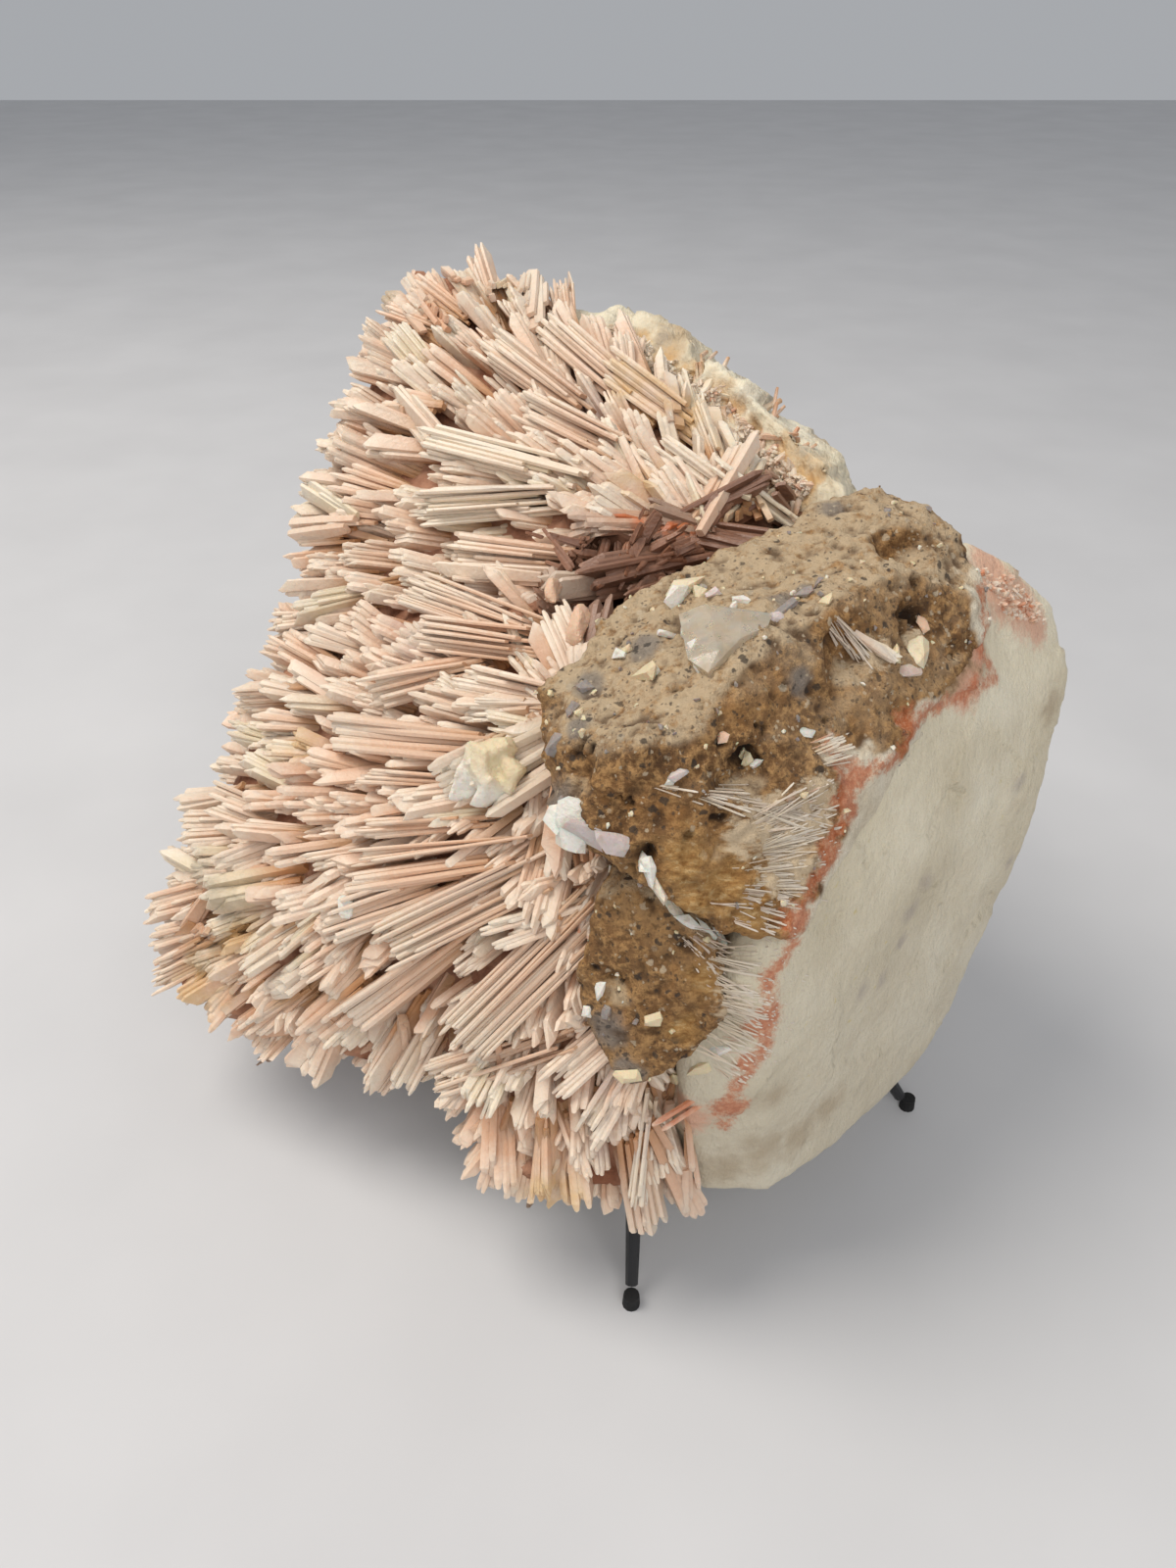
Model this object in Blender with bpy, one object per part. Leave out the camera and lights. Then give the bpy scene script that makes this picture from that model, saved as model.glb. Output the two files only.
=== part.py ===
"""Stilbite cluster on mordenite, resting on a four-legged wire ring stand.

The specimen is a broken piece of a large pocket. A white mordenite mass forms its base, its
back wall and the smooth face at the right. Brown vesicular host rock sits on its front corner.
Flat-bladed stilbite crystals fan out of the mass to the left, upwards and to the front.

Lengths below are in millimetres and MM turns them into metres. The origin is on the ground
under the middle of the object's box, +Z is up and the front is towards -Y. The points in the
lists are measured from a place BOX_MIDDLE away from it.
"""

import math
import random

import bmesh
import bpy
from mathutils import Matrix, Vector, noise
from mathutils.bvhtree import BVHTree

MM = 0.001
GAP = 0.35
BOX_MIDDLE = (-0.05, -4.35, 0.0)

# Stand: a welded rod ring on four tapered legs, the feet on the corners of a square.
REST_HEIGHT = 22.3
RING_TOP = 22.0
ROD_RADIUS = 2.0
RING_RADIUS = 37.0
STAND_CENTRE = (15.7, -32.0)
FOOT_RADIUS = 48.9
FRONT_LEG_ANGLE = math.radians(261.8)
LEG_TWIST = math.radians(-1.8)
LEG_TOP_RADIUS = 1.5
LEG_FOOT_RADIUS = 1.1
CAP_RADIUS = 1.5
CAP_TOP_RADIUS = 1.35
CAP_HEIGHT = 2.6
ROD_SIDES = 10
CAP_SIDES = 12
RING_SEGMENTS = (30, 8)

# Mordenite: rounded convex lumps that overlap. Each list holds a lump's corner points.
MORDENITE_VOXEL = 2.2
MORDENITE_WAVE = (1.0, 24, (3, 1, 4))
CHIPS = 150
CHIP_REACH = (18, 34)
CHIP_FADE = 3
CHIP_TILT = 0.15
CHIP_DEPTH = (1.0, 3.4)
CHIPS_BEHIND = -0.1
CHIPS_BELOW = 106
MORDENITE_TRIANGLES = 720
MORDENITE_FRONT = [
    (30, -76, 22.3), (38, -70, 22.3), (47, -62, 22.3), (57, -52, 22.3), (66, -34, 22.3),
    (64, -12, 22.3), (48, 8, 22.3), (20, 12, 22.3), (12, -60, 22.3), (20, -76, 24),
    (67, -43, 30), (72, -37, 45), (77, -32, 60), (80, -27, 76), (82, -22, 88),
    (78, -18, 99), (67, -20, 107), (60, -24, 111), (61, -34, 103), (52, -46, 101),
    (43, -57, 97), (35, -64, 94), (30, -71, 86), (28, -76, 78), (26, -78, 65),
    (22, -78, 51), (15, -77, 43), (14, -76, 55), (19, -77, 66), (21, -75, 75),
    (45, -4, 109), (70, 4, 94), (74, 0, 68), (60, 22, 84), (30, 10, 96),
]
MORDENITE_RIGHT_WALL = [
    (45, -4, 113), (36, 15, 118), (27, 30, 123), (54, 8, 104), (50, 26, 101), (39, 40, 111),
    (70, 0, 60), (60, 20, 62), (42, 38, 64), (22, 20, 60), (25, 10, 24), (50, 10, 30),
    (36, 24, 36), (62, 16, 86), (14, 40, 80),
]
MORDENITE_BACK_WALL = [
    (27, 30, 123), (14, 47, 128), (2, 57, 128), (-14, 67, 128), (-34, 69, 126), (-42, 64, 116),
    (39, 40, 111), (26, 55, 118), (12, 66, 120), (-6, 75, 121), (-30, 78, 116), (-46, 68, 100),
    (40, 40, 66), (20, 54, 74), (-8, 64, 84), (-34, 70, 92), (-50, 58, 84), (32, 24, 34),
    (12, 36, 40), (-12, 44, 52), (-32, 50, 64), (-26, 40, 66), (0, 20, 26),
]
MORDENITE_BASE = [
    (-26, -38, 22.3), (-20, -50, 22.3), (-6, -62, 22.3), (14, -68, 22.3), (44, -50, 22.3),
    (50, 8, 22.3), (10, 20, 22.3), (-14, 10, 22.3), (-32, -6, 24), (-32, -20, 22.3),
    (-14, -36, 44), (0, -50, 46), (24, -56, 58), (36, -20, 80), (20, 20, 86),
    (-10, 46, 94), (-34, 54, 90), (-44, 34, 68), (-42, 16, 46), (-28, -2, 50), (0, 38, 50),
    (38, 26, 44),
]

# Host rock: the big upper lump with its ridge, and the smaller lump below it.
ROCK_VOXEL = 1.2
ROCK_WAVE = (0.8, 8, (7, 2, 5))
ROCK_TRIANGLES = 1050
ROCK_UPPER = [
    (-6, -60, 97), (-5, -51, 102), (0, -45, 105), (9, -36, 110), (18, -32, 111), (30, -26, 114),
    (36, -22, 117), (46, -17, 119), (52, -19, 118), (57, -24, 114), (60, -29, 110),
    (2, -68, 101), (8, -70, 104), (14, -69, 105), (22, -59, 111), (34, -49, 114), (47, -38, 115),
    (62, -35, 104), (53, -47, 101), (44, -58, 97), (36, -65, 94), (31, -72, 87), (29, -77, 79),
    (22, -79, 80), (16, -79, 84), (8, -76, 89), (1, -71, 91), (-4, -65, 91),
    (14, -56, 80), (30, -50, 82), (48, -28, 92), (20, -30, 94), (2, -48, 90),
]
ROCK_LOWER = [
    (2, -68, 78), (7, -70, 82), (12, -72, 81), (20, -77, 74), (21, -79, 68), (16, -80, 58),
    (7, -80, 52), (2, -75, 58), (-1, -72, 65), (8, -58, 84), (16, -60, 84), (16, -60, 58),
    (6, -60, 60),
]

# Pits in the rock: centre, radius and depth.
ROCK_PITS = (
    ((47, -33, 114), 6, 5), ((22, -70, 101), 5, 4), ((0, -67, 98), 4, 3), ((18, -73, 92), 3, 3),
    ((6, -73, 68), 4, 2.5), ((36, -52, 108), 5, 2.5),
)

# Crystal lobes: the surface that the crystal tips reach. They fan out from the fan points.
UPPER_LOBE = [
    (-36, 68, 136), (-14, 67, 136), (1, 56, 131), (10, 44, 127), (20, 27, 121), (28, 12, 117),
    (38, -6, 112), (-44, 57, 126), (-50, 46, 114), (-54, 40, 105), (-58, 28, 92), (-59, 18, 82),
    (-26, 25, 113), (2, 30, 118), (-7, -6, 100), (-28, -4, 88), (8, -16, 106), (-52, 56, 92),
    (-58, 24, 62), (0, 0, 60), (20, 30, 60), (24, -14, 100), (-46, 62, 100),
    (46, 2, 98), (36, 28, 102), (16, 50, 108), (-8, 66, 110), (-34, 66, 112), (44, -8, 96),
]
LEFT_LOBE = [
    (-58, 20, 83), (-57, 30, 88), (-70, 3, 62), (-78, -10, 48), (-83, -22, 38), (-82, -32, 28),
    (-76, -38, 23), (-64, -45, 21), (-52, -50, 21), (-40, -55, 21), (-30, -58, 24),
    (-28, -4, 87), (-7, -9, 99), (-51, -28, 52), (-25, -48, 68), (-8, -60, 76), (-54, -5, 68),
    (-60, 34, 60), (-66, 14, 36), (-20, 20, 26), (0, -20, 26), (-58, -4, 24),
    (-7, -32, 100), (2, -22, 106), (-13, -45, 91), (4, -44, 98), (10, -50, 84),
]
FRONT_LOBE = [
    (-26, -59, 30), (-18, -75, 21), (-8, -79, 21), (2, -80, 21), (10, -82, 22), (19, -80, 23),
    (-25, -50, 68), (-4, -68, 66), (1, -74, 56), (9, -80, 45), (16, -79, 34), (-8, -62, 77),
    (10, -50, 26), (14, -50, 50), (-20, -30, 40), (2, -66, 80), (-24, -46, 26), (8, -56, 84),
]
CAVITY_FLOOR = [
    (0, -32, 103), (-2, -14, 104), (8, 2, 106), (28, 10, 108), (46, 4, 108), (54, -10, 107),
    (48, -22, 105), (26, -34, 104), (10, -38, 102), (10, -20, 80), (36, -10, 84), (0, -26, 84),
]
LOBES = (UPPER_LOBE, LEFT_LOBE, FRONT_LOBE, CAVITY_FLOOR)
FANS = ((24, 10, 97), (7, -34, 86), (4, -46, 70), (9, -56, 60))
CAVITY = (21, -5, 106)
CAVITY_RADIUS = 13
CAVITY_DEPTH = 3

# Crystals: flat blades that lean away from a fan point and out of the surface.
CRYSTAL_SPACING = 10.1
CRYSTAL_WIDTH = (4.8, 8.0)
CRYSTAL_THICKNESS = (2.6, 4.0)
CRYSTAL_LENGTH = (15, 22)
CRYSTAL_POINT = (3, 6)
CRYSTAL_LEAN = 0.42
CORE_DEPTH = 6.5
TIP_SPREAD = 2.2
CLEAR_STEPS = (-7, -4, 0, 1)
ROOT_WIDTH = 0.75
EDGE_THICKNESS = 0.8
SHORTEST_REACH = 10
OUTSIDE = 400
FAN_RAYS = 1500
CORE_VOXEL = 2.5
CORE_TRIANGLES = 500
SEED = 11


def vec(point):
    """A listed point in metres, measured from the origin."""
    return (Vector(point) - Vector(BOX_MIDDLE)) * MM


def clear_scene():
    for obj in list(bpy.data.objects):
        bpy.data.objects.remove(obj)


def material(name, colour, roughness):
    made = bpy.data.materials.new(name)
    made.use_nodes = True
    shader = made.node_tree.nodes["Principled BSDF"]
    shader.inputs["Base Color"].default_value = (*colour, 1.0)
    shader.inputs["Roughness"].default_value = roughness
    made.diffuse_color = (*colour, 1.0)
    return made


def new_object(name, bm, surface):
    """An object in the scene from a bmesh, which is freed."""
    mesh = bpy.data.meshes.new(name)
    bm.to_mesh(mesh)
    bm.free()
    obj = bpy.data.objects.new(name, mesh)
    bpy.context.scene.collection.objects.link(obj)
    if surface:
        mesh.materials.append(surface)
    return obj


def helper_object(name, bm):
    obj = new_object(name, bm, None)
    obj.hide_render = True
    obj.display_type = "WIRE"
    return obj


def hull(points):
    """The convex hull of the points."""
    bm = bmesh.new()
    for point in points:
        bm.verts.new(vec(point))
    made = bmesh.ops.convex_hull(bm, input=bm.verts)
    inner = [v for v in made["geom_interior"] if isinstance(v, bmesh.types.BMVert)]
    bmesh.ops.delete(bm, geom=inner, context="VERTS")
    bmesh.ops.recalc_face_normals(bm, faces=bm.faces)
    return bm


def joined(meshes):
    """Several bmeshes in one, still separate bodies."""
    whole = bmesh.new()
    for bm in meshes:
        part = bpy.data.meshes.new("lump")
        bm.to_mesh(part)
        bm.free()
        whole.from_mesh(part)
        bpy.data.meshes.remove(part)
    return whole


def apply_modifiers(obj):
    graph = bpy.context.evaluated_depsgraph_get()
    shape = bpy.data.meshes.new_from_object(obj.evaluated_get(graph))
    obj.modifiers.clear()
    old = obj.data
    obj.data = shape
    bpy.data.meshes.remove(old)


def remesh(obj, voxel):
    """Overlapping lumps made into one rounded body."""
    modifier = obj.modifiers.new("Remesh", "REMESH")
    modifier.mode = "VOXEL"
    modifier.voxel_size = voxel * MM
    apply_modifiers(obj)


def shrink(obj, by):
    """Draws the whole surface in along its normals."""
    bm = bmesh.new()
    bm.from_mesh(obj.data)
    bm.normal_update()
    moves = [v.normal * by * MM for v in bm.verts]
    for v, move in zip(bm.verts, moves):
        v.co -= move
    bm.to_mesh(obj.data)
    bm.free()


def thin_out(obj, triangles):
    """Fewer triangles, where the surface is flattest first."""
    obj.data.calc_loop_triangles()
    modifier = obj.modifiers.new("Decimate", "DECIMATE")
    modifier.ratio = triangles / len(obj.data.loop_triangles)
    modifier.use_collapse_triangulate = True
    apply_modifiers(obj)


def roughen(obj, wave):
    """Moves the surface in and out by smooth noise, but leaves the flat underside alone.

    The wave is its height, size and offset.
    """
    height, size, offset = wave
    bm = bmesh.new()
    bm.from_mesh(obj.data)
    bm.normal_update()
    for v in bm.verts:
        if v.co.z > REST_HEIGHT * MM * 1.01:
            sample = (v.co / MM + Vector(BOX_MIDDLE)) / size + Vector(offset)
            rise = noise.noise(sample) + 0.5 * noise.noise(sample * 2.3)
            v.co += v.normal * rise * height * MM
        v.co.z = max(v.co.z, REST_HEIGHT * MM)
    bm.to_mesh(obj.data)
    bm.free()


def dent(obj, centre, radius, depth):
    """Presses a round pit into the surface."""
    middle = vec(centre)
    bm = bmesh.new()
    bm.from_mesh(obj.data)
    bm.normal_update()
    for v in bm.verts:
        near = (v.co - middle).length / (radius * MM)
        if near < 1:
            v.co -= v.normal * depth * MM * (1 - near * near) ** 2
    bm.to_mesh(obj.data)
    bm.free()


def chip_off(obj, rng):
    """Breaks flat chips off the far side, each a plane of some reach a little below the surface."""
    bm = bmesh.new()
    bm.from_mesh(obj.data)
    bm.normal_update()
    tree = BVHTree.FromBMesh(bm)
    middle = sum((v.co for v in bm.verts), Vector()) / len(bm.verts)
    for direction in fan_directions(CHIPS):
        if direction.y < CHIPS_BEHIND:
            continue
        place, normal, _, _ = tree.ray_cast(middle + direction * OUTSIDE * MM, -direction)
        if place.z > CHIPS_BELOW * MM:
            continue
        lean = Vector([rng.gauss(0, CHIP_TILT) for _ in range(3)])
        plane = (normal + lean).normalized()
        place = place - plane * rng.uniform(*CHIP_DEPTH) * MM
        reach = rng.uniform(*CHIP_REACH) * MM
        for v in bm.verts:
            beyond = (v.co - place).dot(plane)
            share = min((1 - (v.co - place).length / reach) * CHIP_FADE, 1)
            if beyond > 0 and share > 0 and v.co.z > REST_HEIGHT * MM * 1.01:
                v.co -= plane * beyond * share
    bm.to_mesh(obj.data)
    bm.free()


def grown(obj, by):
    """A helper the same shape as the object, larger all round by a clearance."""
    bm = bmesh.new()
    bm.from_mesh(obj.data)
    bm.normal_update()
    moves = [v.normal * min(v.calc_shell_factor(), 2.0) * by * MM for v in bm.verts]
    for v, move in zip(bm.verts, moves):
        v.co += move
    return helper_object(obj.name + "_clearance", bm)


def boolean(obj, operation, other, solver="EXACT"):
    modifier = obj.modifiers.new("Boolean", "BOOLEAN")
    modifier.operation = operation
    modifier.solver = solver
    modifier.object = other
    apply_modifiers(obj)
    bpy.data.objects.remove(other)


def keep_main_body(obj):
    """Drops the slivers that a cut leaves loose beside the main body."""
    bm = bmesh.new()
    bm.from_mesh(obj.data)
    bmesh.ops.triangulate(bm, faces=bm.faces)
    left = set(bm.verts)
    bodies = []
    while left:
        body = {left.pop()}
        front = list(body)
        while front:
            v = front.pop()
            reached = {e.other_vert(v) for e in v.link_edges} & left
            left -= reached
            body |= reached
            front += reached
        bodies.append(body)
    main = max(bodies, key=len)
    bmesh.ops.delete(bm, geom=[v for v in bm.verts if v not in main], context="VERTS")
    bm.to_mesh(obj.data)
    bm.free()


def mordenite_mass(surface):
    lumps = [MORDENITE_FRONT, MORDENITE_RIGHT_WALL, MORDENITE_BACK_WALL, MORDENITE_BASE]
    obj = new_object("mordenite_mass", joined([hull(points) for points in lumps]), surface)
    remesh(obj, MORDENITE_VOXEL)
    roughen(obj, MORDENITE_WAVE)
    chip_off(obj, random.Random(SEED))
    thin_out(obj, MORDENITE_TRIANGLES)
    return obj


def matrix_rock(surface, mordenite):
    obj = new_object("matrix_rock", joined([hull(ROCK_UPPER), hull(ROCK_LOWER)]), surface)
    remesh(obj, ROCK_VOXEL)
    roughen(obj, ROCK_WAVE)
    for centre, radius, depth in ROCK_PITS:
        dent(obj, centre, radius, depth)
    thin_out(obj, ROCK_TRIANGLES)
    boolean(obj, "DIFFERENCE", grown(mordenite, GAP))
    keep_main_body(obj)
    return obj


def far_hit(trees, start, direction):
    """Place and normal where a ray leaves the last of several hulls, looked for from outside."""
    reach = OUTSIDE * MM
    hits = [tree.ray_cast(start + direction * reach, -direction, reach)[:2] for tree in trees]
    hits = [hit for hit in hits if hit[0] is not None]
    return max(hits, key=lambda hit: (hit[0] - start).length) if hits else None


def is_inside(tree, point):
    """Whether a ray from the point crosses the closed mesh of the tree an odd number of times."""
    slope = Vector((0.13, 0.07, 1.0)).normalized()
    crossings = 0
    place = tree.ray_cast(point, slope)[0]
    while place is not None:
        crossings += 1
        place = tree.ray_cast(place + slope * MM * MM, slope)[0]
    return crossings % 2 == 1


def tree_of(bm):
    tree = BVHTree.FromBMesh(bm)
    bm.free()
    return tree


def tree_of_object(obj):
    bm = bmesh.new()
    bm.from_mesh(obj.data)
    return tree_of(bm)


def fan_directions(count):
    """Directions spread evenly over the whole sphere, on a golden-angle spiral."""
    golden = math.pi * (3 - math.sqrt(5))
    for i in range(count):
        height = 1 - 2 * (i + 0.5) / count
        level = math.sqrt(1 - height * height)
        yield Vector((level * math.cos(i * golden), level * math.sin(i * golden), height))


def crystal_sites(obstacles, rng):
    """Tip and axis of each crystal: tips an even spacing apart, clear of rock and mordenite."""
    trees = [tree_of(hull(points)) for points in LOBES]
    sites = []
    for fan in FANS:
        start = vec(fan)
        for direction in fan_directions(FAN_RAYS):
            hit = far_hit(trees, start, direction)
            if hit is None or (hit[0] - start).length < SHORTEST_REACH * MM:
                continue
            tip, normal = hit
            if (tip - vec(CAVITY)).length < CAVITY_RADIUS * MM:
                continue
            if any((tip - other).length < CRYSTAL_SPACING * MM for other, _ in sites):
                continue
            axis = (direction + normal * CRYSTAL_LEAN).normalized()
            steps = [tip + axis * step * MM for step in CLEAR_STEPS]
            if any(is_inside(tree, step) for tree in obstacles for step in steps):
                continue
            sites.append((tip + axis * rng.uniform(-TIP_SPREAD, 0.3) * MM, axis))
    return sites


def crystal(tip, axis, rng):
    """One flat blade, widest behind its pointed chisel tip."""
    side = axis.cross(Vector((0.25, 0.4, 1.0))).normalized()
    side = Matrix.Rotation(rng.gauss(0, 0.6), 3, axis) @ side
    thick = axis.cross(side)
    length = rng.uniform(*CRYSTAL_LENGTH) * MM
    width = rng.uniform(*CRYSTAL_WIDTH) * MM / 2
    depth = rng.uniform(*CRYSTAL_THICKNESS) * MM / 2
    slant = rng.uniform(-0.6, 0.6) * width
    bm = bmesh.new()
    rings = []
    for back, across in (length, ROOT_WIDTH), (rng.uniform(*CRYSTAL_POINT) * MM, 1.0):
        ring = []
        for u, w in ((-1, -1), (1, -1), (1, 1), (-1, 1)):
            place = tip - axis * back + side * u * across * width
            ring.append(bm.verts.new(place + thick * w * depth))
        rings.append(ring)
    edge = [
        bm.verts.new(tip + side * slant + thick * w * EDGE_THICKNESS * depth) for w in (-1, 1)
    ]
    root, shoulder = rings
    for i in range(4):
        j = (i + 1) % 4
        bm.faces.new((root[i], root[j], shoulder[j], shoulder[i]))
    bm.faces.new(root[::-1])
    bm.faces.new((shoulder[0], shoulder[1], edge[0]))
    bm.faces.new((shoulder[1], shoulder[2], edge[1], edge[0]))
    bm.faces.new((shoulder[2], shoulder[3], edge[1]))
    bm.faces.new((shoulder[3], shoulder[0], edge[0], edge[1]))
    bmesh.ops.recalc_face_normals(bm, faces=bm.faces)
    return bm


def stilbite_cluster(surface, mordenite, rock):
    rng = random.Random(SEED)
    obj = new_object("stilbite_cluster", joined([hull(points) for points in LOBES]), surface)
    remesh(obj, CORE_VOXEL)
    shrink(obj, CORE_DEPTH)
    remesh(obj, CORE_VOXEL)
    dent(obj, CAVITY, CAVITY_RADIUS, CAVITY_DEPTH)
    thin_out(obj, CORE_TRIANGLES)
    obstacles = [tree_of_object(mordenite), tree_of_object(rock)]
    for tip, axis in crystal_sites(obstacles, rng):
        boolean(obj, "UNION", helper_object("blade", crystal(tip, axis, rng)), "MANIFOLD")
    boolean(obj, "DIFFERENCE", grown(mordenite, GAP), "MANIFOLD")
    boolean(obj, "DIFFERENCE", grown(rock, GAP), "MANIFOLD")
    keep_main_body(obj)
    return obj


def stand_ring(surface):
    around, across = RING_SEGMENTS
    bpy.ops.mesh.primitive_torus_add(
        major_segments=around,
        minor_segments=across,
        major_radius=RING_RADIUS * MM,
        minor_radius=ROD_RADIUS * MM,
    )
    obj = bpy.context.object
    obj.name = "stand_ring"
    obj.data.transform(Matrix.Translation(vec((*STAND_CENTRE, RING_TOP - ROD_RADIUS))))
    obj.data.materials.append(surface)
    obj.data.shade_smooth()
    return obj


def foot_place(number):
    angle = FRONT_LEG_ANGLE + number * math.pi / 2
    x, y = STAND_CENTRE
    return vec((x + FOOT_RADIUS * math.cos(angle), y + FOOT_RADIUS * math.sin(angle), 0))


def rod(name, low, high, radii, surface, sides):
    """A straight tapered rod between two points."""
    axis = high - low
    bm = bmesh.new()
    turn = Vector((0, 0, 1)).rotation_difference(axis).to_matrix().to_4x4()
    bmesh.ops.create_cone(
        bm,
        cap_ends=True,
        segments=sides,
        radius1=radii[0] * MM,
        radius2=radii[1] * MM,
        depth=axis.length,
        matrix=Matrix.Translation((low + high) / 2) @ turn,
    )
    obj = new_object(name, bm, surface)
    obj.data.shade_smooth()
    obj.data.set_sharp_from_angle(angle=math.radians(40))
    return obj


def stand_legs(metal, rubber, ring):
    """Four legs that run from the ring's underside out to the feet, each in a rubber cap."""
    middle = vec((*STAND_CENTRE, 0))
    ring_middle = RING_TOP - ROD_RADIUS
    for number, name in enumerate(("front", "right", "back", "left")):
        foot = foot_place(number)
        outward = Matrix.Rotation(LEG_TWIST, 3, "Z") @ (foot - middle).normalized()
        top = middle + outward * RING_RADIUS * MM + Vector((0, 0, ring_middle * MM))
        low = foot.lerp(top, (CAP_HEIGHT + GAP) / ring_middle)
        leg = rod(
            f"stand_leg_{name}", low, top, (LEG_FOOT_RADIUS, LEG_TOP_RADIUS), metal, ROD_SIDES
        )
        boolean(leg, "DIFFERENCE", grown(ring, GAP))
        cap_top = foot + Vector((0, 0, CAP_HEIGHT * MM))
        rod(f"foot_cap_{name}", foot, cap_top, (CAP_RADIUS, CAP_TOP_RADIUS), rubber, CAP_SIDES)


def main():
    clear_scene()
    white = material("mordenite", (0.72, 0.68, 0.58), 0.6)
    brown = material("host_rock", (0.36, 0.24, 0.13), 0.9)
    peach = material("stilbite", (0.83, 0.60, 0.47), 0.4)
    black = material("black_paint", (0.012, 0.012, 0.014), 0.45)
    rubber = material("black_rubber", (0.01, 0.01, 0.01), 0.8)
    mordenite = mordenite_mass(white)
    rock = matrix_rock(brown, mordenite)
    stilbite_cluster(peach, mordenite, rock)
    ring = stand_ring(black)
    stand_legs(black, rubber, ring)


main()
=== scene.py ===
"""Looks of a stilbite cluster on mordenite, resting on its wire ring stand.

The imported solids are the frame. The brown host rock and the white mordenite are dense copies of
their solids with real pits, facets and chips. The crystals are bundles of thin flat laths that
fan out where the solid has one broad blade. Lengths are in millimetres unless a comment says
otherwise, and colours are linear.
"""

import math
import random

import bmesh
import bpy
import numpy as np
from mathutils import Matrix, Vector
from mathutils.bvhtree import BVHTree
from mathutils.kdtree import KDTree


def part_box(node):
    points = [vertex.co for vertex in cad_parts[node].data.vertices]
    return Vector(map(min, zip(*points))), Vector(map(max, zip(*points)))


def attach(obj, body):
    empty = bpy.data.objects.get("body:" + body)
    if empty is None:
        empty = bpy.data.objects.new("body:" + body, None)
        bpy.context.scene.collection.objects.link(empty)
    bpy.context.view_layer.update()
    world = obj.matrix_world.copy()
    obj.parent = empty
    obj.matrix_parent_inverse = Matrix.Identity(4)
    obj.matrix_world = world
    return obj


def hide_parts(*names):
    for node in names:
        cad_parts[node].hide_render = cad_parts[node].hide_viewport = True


MM = 0.001
BODY = "root"
BOX_MIDDLE = (-0.05, -4.35, 0.0)

# The camera, and the size of the picture whose pixels the places below count, across and down.
CAMERA_PLACE = (1.55, -187.65, 184.5)
CAMERA_PITCH = math.radians(35)
CAMERA_LENS = 27
CAMERA_SENSOR = 36
PICTURE = (1200, 1600)
FOCAL_PIXELS = CAMERA_LENS / CAMERA_SENSOR * PICTURE[1]

# Crystal lobes: the surface that the crystal tips reach, and the points that they fan out from.
UPPER_LOBE = [
    (-36, 68, 136), (-14, 67, 136), (1, 56, 131), (10, 44, 127), (20, 27, 121), (28, 12, 117),
    (38, -6, 112), (-44, 57, 126), (-50, 46, 114), (-54, 40, 105), (-58, 28, 92), (-59, 18, 82),
    (-26, 25, 113), (2, 30, 118), (-7, -6, 100), (-28, -4, 88), (8, -16, 106), (-52, 56, 92),
    (-58, 24, 62), (0, 0, 60), (20, 30, 60), (24, -14, 100), (-46, 62, 100),
    (46, 2, 98), (36, 28, 102), (16, 50, 108), (-8, 66, 110), (-34, 66, 112), (44, -8, 96),
]
LEFT_LOBE = [
    (-58, 20, 83), (-57, 30, 88), (-70, 3, 62), (-78, -10, 48), (-83, -22, 38), (-82, -32, 28),
    (-76, -38, 23), (-64, -45, 21), (-52, -50, 21), (-40, -55, 21), (-30, -58, 24),
    (-28, -4, 87), (-7, -9, 99), (-51, -28, 52), (-25, -48, 68), (-8, -60, 76), (-54, -5, 68),
    (-60, 34, 60), (-66, 14, 36), (-20, 20, 26), (0, -20, 26), (-58, -4, 24),
    (-7, -32, 100), (2, -22, 106), (-13, -45, 91), (4, -44, 98), (10, -50, 84),
]
FRONT_LOBE = [
    (-26, -59, 30), (-18, -75, 21), (-8, -79, 21), (2, -80, 21), (10, -82, 22), (19, -80, 23),
    (-25, -50, 68), (-4, -68, 66), (1, -74, 56), (9, -80, 45), (16, -79, 34), (-8, -62, 77),
    (10, -50, 26), (14, -50, 50), (-20, -30, 40), (2, -66, 80), (-24, -46, 26), (8, -56, 84),
]
CAVITY_FLOOR = [
    (0, -32, 103), (-2, -14, 104), (8, 2, 106), (28, 10, 108), (46, 4, 108), (54, -10, 107),
    (48, -22, 105), (26, -34, 104), (10, -38, 102), (10, -20, 80), (36, -10, 84), (0, -26, 84),
]
LOBES = (UPPER_LOBE, LEFT_LOBE, FRONT_LOBE, CAVITY_FLOOR)
FANS = ((24, 10, 97), (7, -34, 86), (4, -46, 70), (9, -56, 60))

# Edges of the dense meshes.
ROCK_VOXEL = 0.45
MORDENITE_VOXEL = 0.95
CORE_VOXEL = 1.6
LUMP_VOXEL = 0.4

# How far the dark base lies below the crystals' tips, and how much of a thin edge that may take.
CORE_DEPTH = 6.5
THIN_SHARE = 0.42

# Rays that look for the lobes' surface: where they end, how many leave each fan, and how near
# to the fan a site may be.
OUTSIDE = 400
FAN_RAYS = 5200
NEAREST_SITE = 8

# Seeds of the random draws, and how many small things are drawn.
CRYSTAL_SEED = 7
NEEDLE_SEED = 3
CHIP_SEED = 4
LEDGE_SEED = 8
LUMP_SEED = 6
GRAIN_SEED = 9
GRAIN_COUNT = 260
PIT_SEED = 5
PIT_COUNT = 520
LATHS_IN_A_PIECE = 4000


def here(point):
    """A listed point in the frame, in millimetres."""
    return np.array(point, float) - BOX_MIDDLE


def unit(v):
    return v / np.linalg.norm(v)


def clamp(value):
    return min(max(value, 0), 1)


def even(level):
    """The same value three times, as for a grey."""
    return (level, level, level)


def jitter(rng, size):
    """A random offset of about this size in each direction."""
    return np.array([rng.gauss(0, size) for _ in range(3)])


# Noise


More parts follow.
